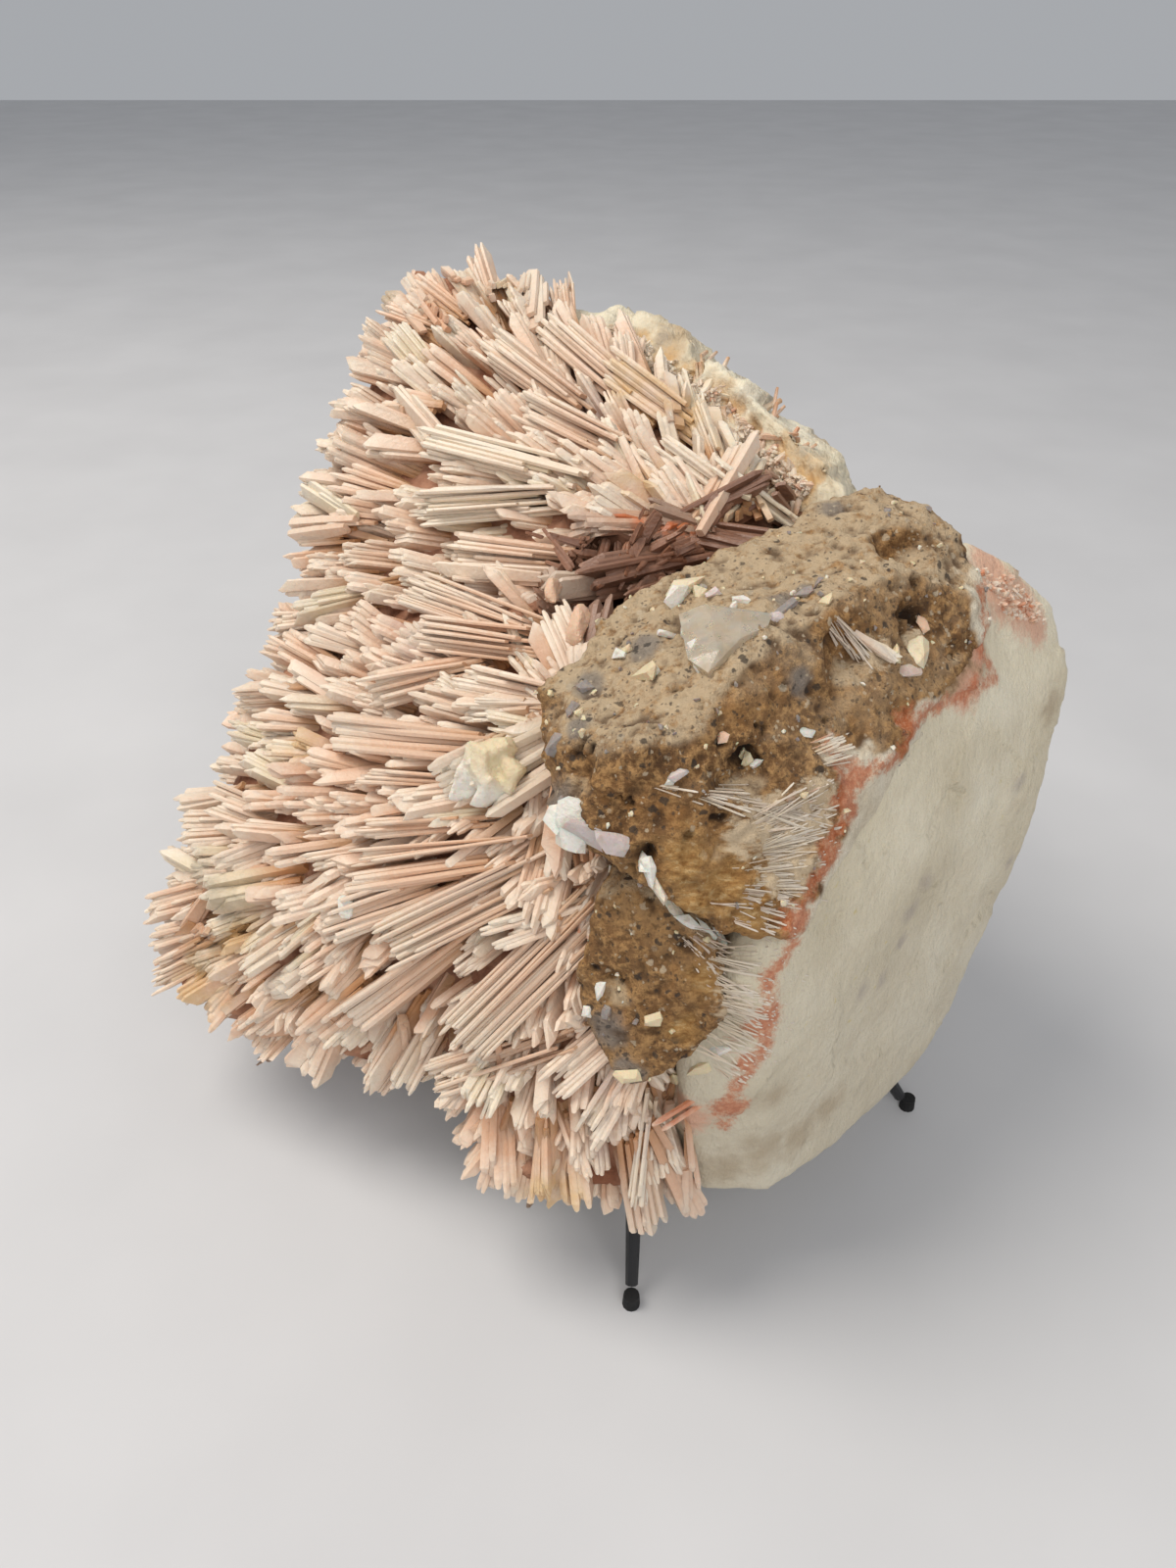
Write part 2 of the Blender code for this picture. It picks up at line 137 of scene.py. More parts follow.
def lattice(points, seed):
    """Smooth noise from -1 to 1 at each point of an array, one knot per unit."""
    low = np.floor(points).astype(np.int64)
    part = points - low
    part = part * part * (3 - 2 * part)
    total = np.zeros(len(points))
    for corner in range(8):
        step = np.array((corner & 1, corner >> 1 & 1, corner >> 2 & 1))
        x, y, z = (low + step).T
        knot = (x * 374761393 + y * 668265263 + z * 1440670441 + seed * 362437) & 0xFFFFFFFF
        knot = (knot ^ (knot >> 13)) * 1274126177 & 0xFFFFFFFF
        knot = knot ^ (knot >> 16)
        weight = np.prod(np.where(step, part, 1 - part), axis=1)
        total += weight * ((knot & 0xFFFF) / 0x7FFF - 1)
    return total


def waves(points, size, octaves, seed):
    """Noise of several sizes added up, the largest one first, points in millimetres."""
    total = np.zeros(len(points))
    share = 1.0
    for octave in range(octaves):
        total += share * lattice(points / size + 17.3 * octave, seed + octave)
        size *= 0.5
        share *= 0.5
    return total


def smoothstep(low, high, value):
    part = np.clip((value - low) / (high - low), 0, 1)
    return part * part * (3 - 2 * part)


# Meshes


def read(obj, what):
    """One vector for each vertex: its co or its normal."""
    values = np.empty(len(obj.data.vertices) * 3)
    obj.data.vertices.foreach_get(what, values)
    return values.reshape(-1, 3)


def coordinates(obj):
    return read(obj, "co") / MM


def points_and_normals(obj):
    return coordinates(obj), read(obj, "normal")


def place(obj, co, smooth=False):
    """Moves the vertices, and shades the mesh smooth if asked."""
    obj.data.vertices.foreach_set("co", (co * MM).ravel())
    obj.data.update()
    if smooth:
        obj.data.shade_smooth()


def attribute(obj, name, values):
    """A number for each vertex, which materials read."""
    made = obj.data.attributes.new(name, "FLOAT", "POINT")
    made.data.foreach_set("value", np.asarray(values, np.float32))


def new_object(name, mesh, surface=None):
    obj = bpy.data.objects.new(name, mesh)
    bpy.context.scene.collection.objects.link(obj)
    if surface:
        mesh.materials.append(surface)
    return obj


def apply_modifiers(obj):
    graph = bpy.context.evaluated_depsgraph_get()
    shape = bpy.data.meshes.new_from_object(obj.evaluated_get(graph))
    obj.modifiers.clear()
    obj.data = shape


def dense(obj, voxel, rounds):
    """Remeshes the object finely and smooths its facets away."""
    modifier = obj.modifiers.new("Remesh", "REMESH")
    modifier.mode = "VOXEL"
    modifier.voxel_size = voxel * MM
    smooth = obj.modifiers.new("Smooth", "SMOOTH")
    smooth.factor = 0.5
    smooth.iterations = rounds
    apply_modifiers(obj)
    return obj


def dense_copy(name, node, voxel, rounds, surface):
    """A finely meshed copy of a CAD node, to be shaped further."""
    obj = new_object(name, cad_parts[node].data.copy())
    dense(obj, voxel, rounds)
    obj.data.materials.clear()
    obj.data.materials.append(surface)
    return obj


def mesh_from(name, co, faces, corner_count):
    """A mesh from arrays of points in millimetres and of faces with one number of corners."""
    mesh = bpy.data.meshes.new(name)
    mesh.vertices.add(len(co))
    mesh.vertices.foreach_set("co", (co * MM).ravel())
    mesh.loops.add(faces.size)
    mesh.loops.foreach_set("vertex_index", faces.ravel())
    mesh.polygons.add(len(faces))
    mesh.polygons.foreach_set("loop_start", np.arange(len(faces)) * corner_count)
    mesh.update(calc_edges=True)
    return mesh


def mesh_of(bm, name):
    mesh = bpy.data.meshes.new(name)
    bm.to_mesh(mesh)
    bm.free()
    return mesh


def flat_object(bm, name, surface):
    """An object with flat faces."""
    mesh = mesh_of(bm, name)
    mesh.shade_flat()
    return new_object(name, mesh, surface)


def tree_of(obj):
    bm = bmesh.new()
    bm.from_mesh(obj.data)
    tree = BVHTree.FromBMesh(bm)
    bm.free()
    return tree


def kd_tree(points):
    kd = KDTree(len(points))
    for i, point in enumerate(points):
        kd.insert(point, i)
    kd.balance()
    return kd


def close_hull(bm, verts):
    """Closes the convex hull of some points and deletes the points inside it."""
    made = bmesh.ops.convex_hull(bm, input=verts)
    inner = [v for v in made["geom_interior"] if isinstance(v, bmesh.types.BMVert)]
    bmesh.ops.delete(bm, geom=inner, context="VERTS")


def hull_mesh(points, name):
    bm = bmesh.new()
    for point in points:
        bm.verts.new(here(point) * MM)
    close_hull(bm, bm.verts)
    bmesh.ops.recalc_face_normals(bm, faces=bm.faces)
    return mesh_of(bm, name)


def is_inside(tree, point):
    """Whether a ray from the point crosses the closed mesh of the tree an odd number of times."""
    slope = Vector((0.13, 0.07, 1.0)).normalized()
    crossings = 0
    spot = tree.ray_cast(point, slope)[0]
    while spot is not None:
        crossings += 1
        spot = tree.ray_cast(spot + slope * MM * MM, slope)[0]
    return crossings % 2 == 1


def inside_any(trees, spots):
    """Whether one of the points is inside one of the closed meshes."""
    return any(is_inside(tree, Vector(spot) * MM) for tree in trees for spot in spots)


# The picture


def camera_axes():
    sin, cos = math.sin(CAMERA_PITCH), math.cos(CAMERA_PITCH)
    return np.array((1.0, 0, 0)), np.array((0, sin, cos)), np.array((0, cos, -sin))


def picture_ray(across, down):
    """Direction from the camera through a place in the picture."""
    right, up, forward = camera_axes()
    u = (across - PICTURE[0] / 2) / FOCAL_PIXELS
    v = (down - PICTURE[1] / 2) / FOCAL_PIXELS
    ray = forward + right * u - up * v
    return ray / np.linalg.norm(ray)


def seen_face(across, down, trees):
    """Point and outward normal of the nearest surface at a place in the picture, or None."""
    start = Vector(CAMERA_PLACE) * MM
    ray = Vector(picture_ray(across, down))
    hits = [tree.ray_cast(start, ray) for tree in trees]
    hits = [hit for hit in hits if hit[0] is not None]
    if not hits:
        return None
    spot, normal, _, _ = min(hits, key=lambda hit: hit[3])
    return np.array(spot) / MM, np.array(normal)


def seen(across, down, trees):
    """The nearest surface at a place in the picture: its point in millimetres, or None."""
    face = seen_face(across, down, trees)
    return None if face is None else face[0]


def seen_line(places, trees):
    """The surface's points at several places in the picture, where there is a surface."""
    spots = [seen(across, down, trees) for across, down in places]
    return np.array([spot for spot in spots if spot is not None])


def distance_to_line(points, line):
    """Distance from each point to a polyline."""
    line = np.asarray(line)
    best = np.full(len(points), 1e9)
    for a, b in zip(line[:-1], line[1:]):
        run = b - a
        t = np.clip((points - a) @ run / (run @ run + 1e-9), 0, 1)
        best = np.minimum(best, np.linalg.norm(points - a - t[:, None] * run, axis=1))
    return best


def in_picture(co):
    """Where points lie in the picture, across and down."""
    right, up, forward = camera_axes()
    rel = co - np.array(CAMERA_PLACE)
    depth = rel @ forward
    across = PICTURE[0] / 2 + FOCAL_PIXELS * (rel @ right) / depth
    down = PICTURE[1] / 2 - FOCAL_PIXELS * (rel @ up) / depth
    return np.stack((across, down), axis=1)


def within(points, outline):
    """Whether each point lies inside a closed outline."""
    inside = np.zeros(len(points), bool)
    x, y = points.T
    for (x0, y0), (x1, y1) in zip(outline, outline[1:] + outline[:1]):
        crosses = (y0 > y) != (y1 > y)
        inside ^= crosses & (x < (x1 - x0) * (y - y0) / (y1 - y0 + 1e-9) + x0)
    return inside


def edge_share(co, outline, soft):
    """1 inside an outline in the picture, 0 outside it, with an uneven edge soft pixels wide."""
    wander = np.stack((waves(co, 4.0, 3, 61), waves(co, 4.0, 3, 62)), axis=1) * 14
    spots = in_picture(co) + wander
    closed = np.array(outline + outline[:1], float)
    far = distance_to_line(spots, closed)
    return smoothstep(-soft, soft, np.where(within(spots, outline), far, -far))


def near_places(co, places, trees):
    """1 at the listed places in the picture, falling to 0 at their reach."""
    share = np.zeros(len(co))
    for across, down, reach in places:
        spot = seen(across, down, trees)
        if spot is not None:
            share = np.maximum(share, 1 - np.linalg.norm(co - spot, axis=1) / reach)
    return np.clip(share, 0, 1)


# Materials


class Shader:
    """A node material, with short ways to add nodes to it."""

    def __init__(self, name, **sockets):
        self.material = bpy.data.materials.new(name)
        self.material.use_nodes = True
        self.nodes = self.material.node_tree.nodes
        self.links = self.material.node_tree.links
        self.shader = self.nodes["Principled BSDF"]
        for key, value in sockets.items():
            self.shader.inputs[key.replace("_", " ")].default_value = value
        where = self.nodes.new("ShaderNodeTexCoord").outputs["Object"]
        self.where = self.vector("SCALE", {0: where, 3: 1 / MM})

    def add(self, kind, inputs, output=0, **settings):
        node = self.nodes.new(kind)
        for key, value in settings.items():
            setattr(node, key, value)
        for key, value in inputs.items():
            if isinstance(value, bpy.types.NodeSocket):
                self.links.new(value, node.inputs[key])
            else:
                node.inputs[key].default_value = value
        return node.outputs[output]

    def vector(self, operation, inputs):
        return self.add("ShaderNodeVectorMath", inputs, operation=operation)

    def value(self, name):
        return self.add("ShaderNodeAttribute", {}, "Fac", attribute_name=name)

    def noise(self, size, detail=3.0, rough=0.5, offset=0.0, stretch=None):
        """Noise whose waves are about this many millimetres long."""
        at = self.where
        if offset:
            at = self.vector("ADD", {0: at, 1: even(offset)})
        if stretch:
            at = self.vector("MULTIPLY", {0: at, 1: stretch})
        inputs = {"Vector": at, "Scale": 1 / size, "Detail": detail, "Roughness": rough}
        return self.add("ShaderNodeTexNoise", inputs, "Fac")

    def cells(self, size):
        """Cells about this many millimetres wide with uneven edges: distance and colour."""
        inputs = {"Vector": self.where, "Scale": 1.4 / size, "Detail": 3.0}
        wander = self.add("ShaderNodeTexNoise", inputs, "Color")
        shift = self.vector("SCALE", {0: wander, 3: size * 0.9})
        at = self.vector("ADD", {0: self.where, 1: shift})
        near = self.add("ShaderNodeTexVoronoi", {"Vector": at, "Scale": 1 / size}, "Distance")
        return near, near.node.outputs["Color"]

    def steps(self, value, low, high):
        """0 below low, 1 above high, smooth between them."""
        return self.add("ShaderNodeMapRange", {"Value": value, "From Min": low, "From Max": high},
                        interpolation_type="SMOOTHSTEP")

    def math(self, operation, a, b):
        return self.add("ShaderNodeMath", {0: a, 1: b}, operation=operation)

    def sum(self, a, b, share):
        """The first value with a share of the second added."""
        return self.math("ADD", a, self.math("MULTIPLY", b, share))

    def mix(self, share, a, b):
        a, b = (x if isinstance(x, bpy.types.NodeSocket) else (*x, 1.0) for x in (a, b))
        return self.add("ShaderNodeMix", {0: share, 6: a, 7: b}, 2, data_type="RGBA")

    def tint(self, base, share, strength, colour):
        """The base with a colour over it, as strong as the share times the strength."""
        return self.mix(self.math("MULTIPLY", share, strength), base, colour)

    def spots(self, base, size, limits, strength, colour):
        """The base with a colour over it where a noise is high. Size lists the noise's settings."""
        return self.tint(base, self.steps(self.noise(*size), *limits), strength, colour)

    def stain(self, base, mark, edge, uneven, limits, strength, colour):
        """The base with a colour over it where a mark is high, its edge made uneven by a noise.

        The mark is a value, or the name of an attribute.
        """
        mark = self.value(mark) if isinstance(mark, str) else mark
        share = self.steps(self.sum(mark, edge, uneven), *limits)
        return self.tint(base, share, strength, colour)

    def ramp(self, value, *stops):
        node = self.nodes.new("ShaderNodeValToRGB")
        self.links.new(value, node.inputs[0])
        ramp = node.color_ramp
        while len(ramp.elements) < len(stops):
            ramp.elements.new(0.5)
        for element, (at, colour) in zip(ramp.elements, stops):
            element.position = at
            element.color = (*colour, 1.0)
        return node.outputs[0]

    def bump(self, height, depth):
        return self.add("ShaderNodeBump", {"Height": height, "Distance": depth * MM, "Strength": 1.0})

    def finish(self, colour=None, roughness=None, normal=None):
        for key, value in (("Base Color", colour), ("Roughness", roughness), ("Normal", normal)):
            if value is not None:
                self.links.new(value, self.shader.inputs[key])
        return self.material


def red_rim(s, base):
    """The red line between rock and mordenite."""
    red = s.ramp(s.noise(1.0, 5, 0.7, 15), (0.35, (0.66, 0.36, 0.22)), (0.5, (0.55, 0.17, 0.07)),
                 (0.65, (0.42, 0.10, 0.035)))
    return s.stain(base, "rim", s.noise(2.2, 6, 0.85, 5), 1.6, (1.34, 1.76), 0.85, red)


def rock_material():
    s = Shader("host_rock", Specular_IOR_Level=0.3)
    base = s.ramp(s.noise(14, 4, 0.6), (0.3, (0.13, 0.060, 0.021)), (0.5, (0.235, 0.122, 0.048)),
                  (0.68, (0.38, 0.225, 0.10)))
    fine = s.noise(1.3, 5, 0.7)
    base = s.mix(s.steps(fine, 0.42, 0.62), base, (0.44, 0.25, 0.10))
    base = s.spots(base, (0.8, 3, 0.6, 9), (0.52, 0.66), 0.55, (0.10, 0.055, 0.024))
    base = s.spots(base, (6, 3, 0.6, 31), (0.52, 0.7), 0.5, (0.36, 0.17, 0.05))
    # Upward faces lighter: partly dust, partly painted light on the lit top of the rock.
    dust_and_top_light = s.math("MULTIPLY", s.value("dust_and_top_light"), s.steps(s.noise(2.2, 5, 0.7, 44), 0.28, 0.55))
    base = s.tint(base, dust_and_top_light, 0.8, (0.60, 0.47, 0.31))
    base = s.stain(base, "grey", s.noise(3, 4), 0.5, (0.55, 0.95), 0.75, (0.23, 0.205, 0.18))
    # Painted shade: the low points of the small relief are darkened.
    base = s.tint(base, s.value("low"), 0.8, (0.09, 0.045, 0.02))
    # Painted shade: the pits and holes are coloured almost black by their depth.
    base = s.mix(s.steps(s.value("pit"), 0.15, 1.0), base, (0.03, 0.015, 0.007))
    for size, share, strength in ((1.3, 0.80, 0.8), (0.6, 0.72, 0.6)):
        near, colour = s.cells(size)
        dark, pale, wide = (s.add("ShaderNodeSeparateColor", {0: colour}, n) for n in range(3))
        spot = s.steps(s.math("SUBTRACT", near, s.math("MULTIPLY", wide, 0.4)), 0.18, 0.0)
        speck = s.math("MULTIPLY", spot, s.steps(dark, share, share + 0.03))
        base = s.tint(base, speck, strength, (0.045, 0.036, 0.03))
        chip = s.math("MULTIPLY", spot, s.steps(pale, 0.88, 0.9))
        base = s.tint(base, chip, 0.7, (0.58, 0.47, 0.33))
    fibre = s.noise(1.0, 5, 0.6, 2, (0.35, 1.4, 1.0))
    golden = s.ramp(fibre, (0.35, (0.26, 0.12, 0.03)), (0.55, (0.46, 0.26, 0.09)),
                    (0.7, (0.62, 0.44, 0.22)))
    base = s.stain(base, "amber", s.noise(2.5, 5), 0.8, (0.7, 1.25), 0.9, golden)
    base = s.stain(base, "cream", fibre, 1.2, (1.0, 1.35), 0.9, (0.66, 0.52, 0.35))
    white = s.ramp(s.noise(5, 5, 0.6, 3), (0.3, (0.64, 0.54, 0.39)), (0.6, (0.80, 0.72, 0.57)))
    base = red_rim(s, s.mix(s.value("white"), base, white))
    rough = s.mix(s.value("grey"), even(0.85), even(0.45))
    grain = s.sum(s.math("MULTIPLY", fine, 0.7), s.noise(0.4, 3, 0.7), 0.4)
    return s.finish(base, rough, s.bump(grain, 1.1))


def mordenite_material():
    s = Shader("mordenite", Specular_IOR_Level=0.4, Subsurface_Weight=0.12, Subsurface_Scale=0.0015,
               Subsurface_Radius=(1.0, 0.75, 0.5))
    base = s.ramp(s.noise(18, 5, 0.55), (0.3, (0.63, 0.55, 0.39)), (0.5, (0.74, 0.66, 0.49)),
                  (0.7, (0.84, 0.77, 0.60)))
    base = s.spots(base, (5, 6, 0.6, 3), (0.5, 0.75), 0.3, (0.56, 0.46, 0.32))
    # Painted shade: the face grows greyer towards its foot.
    base = s.tint(base, s.value("foot"), 0.45, (0.47, 0.42, 0.34))
    old = s.math("MULTIPLY", s.steps(s.noise(24, 6, 0.65, 17), 0.48, 0.62), s.value("hidden"))
    base = s.tint(base, old, 0.7, (0.48, 0.33, 0.18))
    grey = s.math("MULTIPLY", s.steps(s.noise(9, 6, 0.7, 27), 0.52, 0.64), s.value("hidden"))
    base = s.tint(base, grey, 0.5, (0.34, 0.30, 0.25))
    yellow = s.steps(s.noise(2.0, 3, 0.6, 12), 0.66, 0.74)
    yellow = s.math("MULTIPLY", yellow, s.steps(s.noise(22, 2, 0.5, 7), 0.5, 0.62))
    base = s.tint(base, yellow, 0.6, (0.62, 0.50, 0.16))
    base = s.stain(base, "smudge", s.noise(4, 4), 0.8, (0.8, 1.4), 0.45, (0.30, 0.25, 0.25))
    base = s.stain(base, "dirt", s.noise(3, 5), 0.9, (0.85, 1.4), 0.7, (0.42, 0.33, 0.22))
    base = s.stain(base, "amber", s.noise(2.4, 5), 0.8, (0.85, 1.35), 0.8, (0.62, 0.36, 0.13))
    tan = s.ramp(s.noise(1.6, 5, 0.7), (0.35, (0.24, 0.13, 0.055)), (0.6, (0.44, 0.30, 0.17)))
    base = s.mix(s.value("brown"), base, tan)
    base = s.stain(base, "salmon", s.noise(1.6, 5, 0.7), 0.9, (0.66, 1.16), 0.8, (0.68, 0.36, 0.24))
    height = s.sum(s.noise(3, 6, 0.65), s.noise(1.1, 5, 0.65, 5, (1.6, 0.35, 0.7)), 0.45)
    rough = s.mix(s.noise(6, 3), even(0.5), even(0.72))
    return s.finish(red_rim(s, base), rough, s.bump(height, 0.85))


def crystal_material():
    s = Shader("stilbite", Specular_IOR_Level=0.5, Subsurface_Weight=0.25, Subsurface_Scale=0.0012,
               Subsurface_Radius=(1.0, 0.7, 0.5))
    along, hue, streak = s.value("along"), s.value("hue"), s.value("streak")
    body = s.ramp(hue, (0.0, (0.65, 0.385, 0.24)), (0.3, (0.69, 0.46, 0.32)), (0.55, (0.695, 0.50, 0.37)),
                  (0.8, (0.68, 0.53, 0.41)), (1.0, (0.72, 0.60, 0.43)))
    body = s.stain(body, "lilac", s.noise(9, 3, 0.5, 4), 0.8, (0.75, 1.2), 0.45, (0.49, 0.374, 0.365))
    # Darker orange towards each lath's root: partly real iron stain, partly painted shade deep among the
    # crystals.
    root = s.mix(s.value("tone"), (0.50, 0.25, 0.11), (0.46, 0.27, 0.14))
    base = s.mix(s.steps(along, 0.15, 0.68), root, body)
    # Paler towards each tip: partly the tips' own colour, partly painted highlight.
    tip = s.mix(hue, (0.77, 0.61, 0.48), (0.79, 0.69, 0.56))
    base = s.stain(base, along, s.noise(1.6, 4, 0.6), 0.3, (0.86, 1.14), 0.85, tip)
    # Painted shade: sheaves set deep and those by the cavity are darkened by sink.
    base = s.tint(base, s.steps(s.value("sink"), 0.12, 0.85), 0.92, (0.19, 0.078, 0.042))
    base = s.tint(base, s.steps(streak, 0.55, 0.9), 0.2, (0.534, 0.267, 0.16))
    rusty = s.math("MAXIMUM", s.value("rust"), s.value("rusty"))
    base = s.stain(base, rusty, s.noise(2.5, 4, 0.6, 8), 0.9, (0.85, 1.3), 0.8, (0.552, 0.151, 0.045))
    base = s.stain(base, "amber", s.noise(4, 4, 0.6, 2), 0.8, (0.8, 1.3), 0.7, (0.587, 0.374, 0.151))
    base = s.stain(base, "dirt", s.noise(2.2, 5, 0.65, 6), 1.0, (0.85, 1.45), 0.55, (0.27, 0.21, 0.11))
    rough = s.mix(s.noise(2, 3), even(0.32), even(0.49))
    return s.finish(base, rough, s.bump(s.sum(s.noise(0.9, 4, 0.6), streak, 0.5), 0.25))


# Colours of chips and grains, as places on the colour ramp of their material.
WHITE, YELLOW, LILAC, PEACH, GREY = 0.0, 0.25, 0.5, 0.75, 1.0


def chip_material():
    s = Shader("chips", Specular_IOR_Level=0.5, Subsurface_Weight=0.3, Subsurface_Scale=0.001)
    base = s.ramp(s.value("colour"), (WHITE, (0.78, 0.75, 0.68)), (YELLOW, (0.72, 0.60, 0.38)),
                  (LILAC, (0.62, 0.54, 0.52)), (PEACH, (0.72, 0.48, 0.33)), (GREY, (0.25, 0.225, 0.21)))
    base = s.spots(base, (1.2, 5, 0.65), (0.5, 0.72), 0.4, (0.50, 0.38, 0.26))
    rough = s.mix(s.noise(1.5, 3), even(0.25), even(0.5))
    return s.finish(base, rough, s.bump(s.noise(0.8, 5, 0.65), 0.35))


def wedge_material():
    s = Shader("clear_crystal", IOR=1.5, Transmission_Weight=0.7, Subsurface_Weight=0.1,
               Subsurface_Scale=0.001)
    colour = s.ramp(s.noise(2.5, 4), (0.35, (0.90, 0.77, 0.57)), (0.65, (0.96, 0.90, 0.78)))
    rough = s.ramp(s.noise(1.6, 4), (0.35, even(0.2)), (0.65, even(0.5)))
    return s.finish(colour, rough, s.bump(s.noise(1.0, 4, 0.6), 0.2))


def core_material():
    s = Shader("stilbite_base", Roughness=0.8, Specular_IOR_Level=0.2)
    # Dark brown: painted shade for the deep gaps between the crystals.
    base = s.ramp(s.noise(5, 4), (0.35, (0.24, 0.10, 0.055)), (0.65, (0.46, 0.25, 0.16)))
    base = s.tint(base, s.value("shade"), 0.95, (0.07, 0.026, 0.012))
    return s.finish(base, None, s.bump(s.noise(1.5, 4), 0.8))


def stand_material():
    s = Shader("black_paint", Specular_IOR_Level=0.5)
    base = s.ramp(s.noise(6, 3), (0.3, (0.006, 0.006, 0.007)), (0.7, (0.016, 0.016, 0.018)))
    rough = s.ramp(s.noise(1.2, 3), (0.3, even(0.32)), (0.7, even(0.48)))
    return s.finish(base, rough, s.bump(s.noise(0.8, 2), 0.03))


def rubber_material():
    s = Shader("black_rubber", Specular_IOR_Level=0.35)
    base = s.ramp(s.noise(1.5, 3), (0.3, even(0.008)), (0.7, even(0.018)))
    rough = s.ramp(s.noise(0.6, 2), (0, even(0.7)), (1, even(0.9)))
    return s.finish(base, rough, s.bump(s.noise(0.5, 2), 0.04))


def floor_material():
    s = Shader("floor", Specular_IOR_Level=0.3)
    base = s.ramp(s.noise(60, 3), (0.3, (0.56, 0.56, 0.57)), (0.7, (0.60, 0.60, 0.61)))
    return s.finish(base, s.ramp(s.noise(20, 2), (0, even(0.6)), (1, even(0.75))))


# Rock and mordenite

# The line in the picture where rock and mordenite meet, and how far the red spreads from it.
RIM_LINE = [
    (1000, 600), (1005, 650), (1015, 690), (985, 710), (940, 730), (920, 770), (880, 790), (850, 770),
    (860, 800), (870, 830), (850, 850), (840, 890), (825, 910), (815, 940), (810, 965), (790, 990),
    (785, 1000), (790, 1040), (775, 1080), (750, 1110), (740, 1150),
]
RIM_REACH = 4.0

# Outline in the picture of all that is white to the right of the rock.
WHITE_PART = [
    (985, 545), (1000, 640), (1010, 690), (975, 712), (935, 728), (912, 768), (842, 745), (850, 788),
    (868, 806), (858, 850), (838, 872), (832, 905), (806, 930), (808, 968), (786, 985), (740, 960),
    (790, 1010), (770, 1060), (700, 1080), (740, 1150), (1000, 1200), (1200, 700), (1050, 500),
]

# Places in the picture with their reach: where the brown of the rock runs out over the mordenite,
# where the red line spreads, and the stains of rock and mordenite.
BROWN_PLACES = [
    (985, 600, 9), (990, 650, 9), (975, 690, 9), (940, 715, 8), (910, 750, 7), (870, 790, 6),
    (850, 850, 6), (825, 920, 6), (960, 560, 6),
]
RIM_PATCHES = [
    (1003, 660, 5), (990, 704, 5), (925, 735, 5), (852, 762, 4), (862, 812, 5), (846, 868, 5),
    (812, 940, 6), (778, 1045, 7), (765, 1085, 5), (745, 1130, 7), (872, 795, 4),
]
STAINS = {
    "amber": [
        (740, 905, 11), (700, 880, 8), (770, 930, 8), (710, 925, 6), (780, 900, 5), (745, 425, 11),
        (770, 450, 11), (797, 470, 11), (825, 492, 10), (680, 368, 8), (708, 388, 10), (728, 405, 10),
        (655, 345, 6), (720, 1000, 6), (700, 1050, 5),
    ],
    "cream": [
        (800, 860, 6), (790, 820, 4), (760, 850, 6), (740, 970, 6), (760, 1020, 8), (740, 1060, 6),
        (895, 668, 5), (660, 690, 3), (800, 855, 10), (822, 838, 9), (806, 885, 9), (832, 815, 7),
        (780, 835, 7), (705, 600, 5), (930, 655, 4), (715, 640, 3), (790, 900, 4),
    ],
    "grey": [
        (560, 790, 8), (565, 830, 8), (600, 870, 6), (800, 612, 4), (822, 600, 3), (817, 695, 4),
        (600, 700, 5), (620, 1050, 6), (610, 1090, 6), (640, 1095, 5), (655, 660, 5), (590, 740, 4),
        (760, 530, 4), (850, 520, 4),
    ],
    "salmon": [
        (1000, 588, 8), (1020, 603, 9), (1042, 618, 9), (1010, 575, 7), (1058, 638, 6), (905, 765, 5),
        (1000, 665, 5), (985, 705, 6), (850, 790, 5), (700, 1140, 7), (835, 880, 5),
    ],
    "smudge": [
        (930, 930, 5), (945, 900, 5), (920, 960, 4), (900, 1000, 4), (1040, 800, 5), (1050, 850, 5),
        (1030, 880, 4), (880, 1010, 5),
    ],
    "dirt": [
        (780, 1172, 13), (745, 1190, 10), (815, 1158, 11), (845, 1128, 8), (1072, 720, 7), (700, 1215, 9),
        (790, 1120, 7),
    ],
}

# The many small pits: the least radius, how much larger they get, and how few get so large.
PIT_RADIUS = 0.34
PIT_SPREAD = 0.45
PIT_POWER = 6.0

# Holes in the rock, each made of a few pits: place in the picture, radius and depth.
PITS_IN_A_HOLE = 4
ROCK_HOLES = [
    (934, 612, 2.4, 3.6), (920, 634, 1.6, 2.4), (950, 592, 1.3, 1.8), (762, 772, 1.7, 2.6),
    (738, 760, 1.0, 1.4), (590, 762, 1.4, 2.2), (606, 764, 1.0, 1.6), (735, 837, 0.9, 1.5),
    (706, 856, 0.8, 1.2), (778, 741, 0.8, 1.2), (638, 814, 0.8, 1.3), (652, 880, 2.0, 3.0),
    (604, 985, 1.0, 1.4), (640, 1000, 0.9, 1.2), (700, 960, 1.2, 1.3), (690, 700, 0.7, 0.9),
    (668, 742, 0.6, 0.8), (716, 722, 0.6, 0.9), (800, 700, 0.6, 0.8), (846, 660, 0.7, 0.9),
]


def pits(co, centres, radii, depths):
    """How far each point sinks into round pits, and how deep in a pit it is, from 0 to 1."""
    kd = kd_tree(co)
    sink = np.zeros(len(co))
    inside = np.zeros(len(co))
    for centre, radius, depth in zip(centres, radii, depths):
        for _, i, far in kd.find_range(centre, radius):
            fall = 1 - (far / radius) ** 3
            sink[i] = max(sink[i], depth * fall)
            inside[i] = max(inside[i], fall * min(1, depth))
    return sink, inside


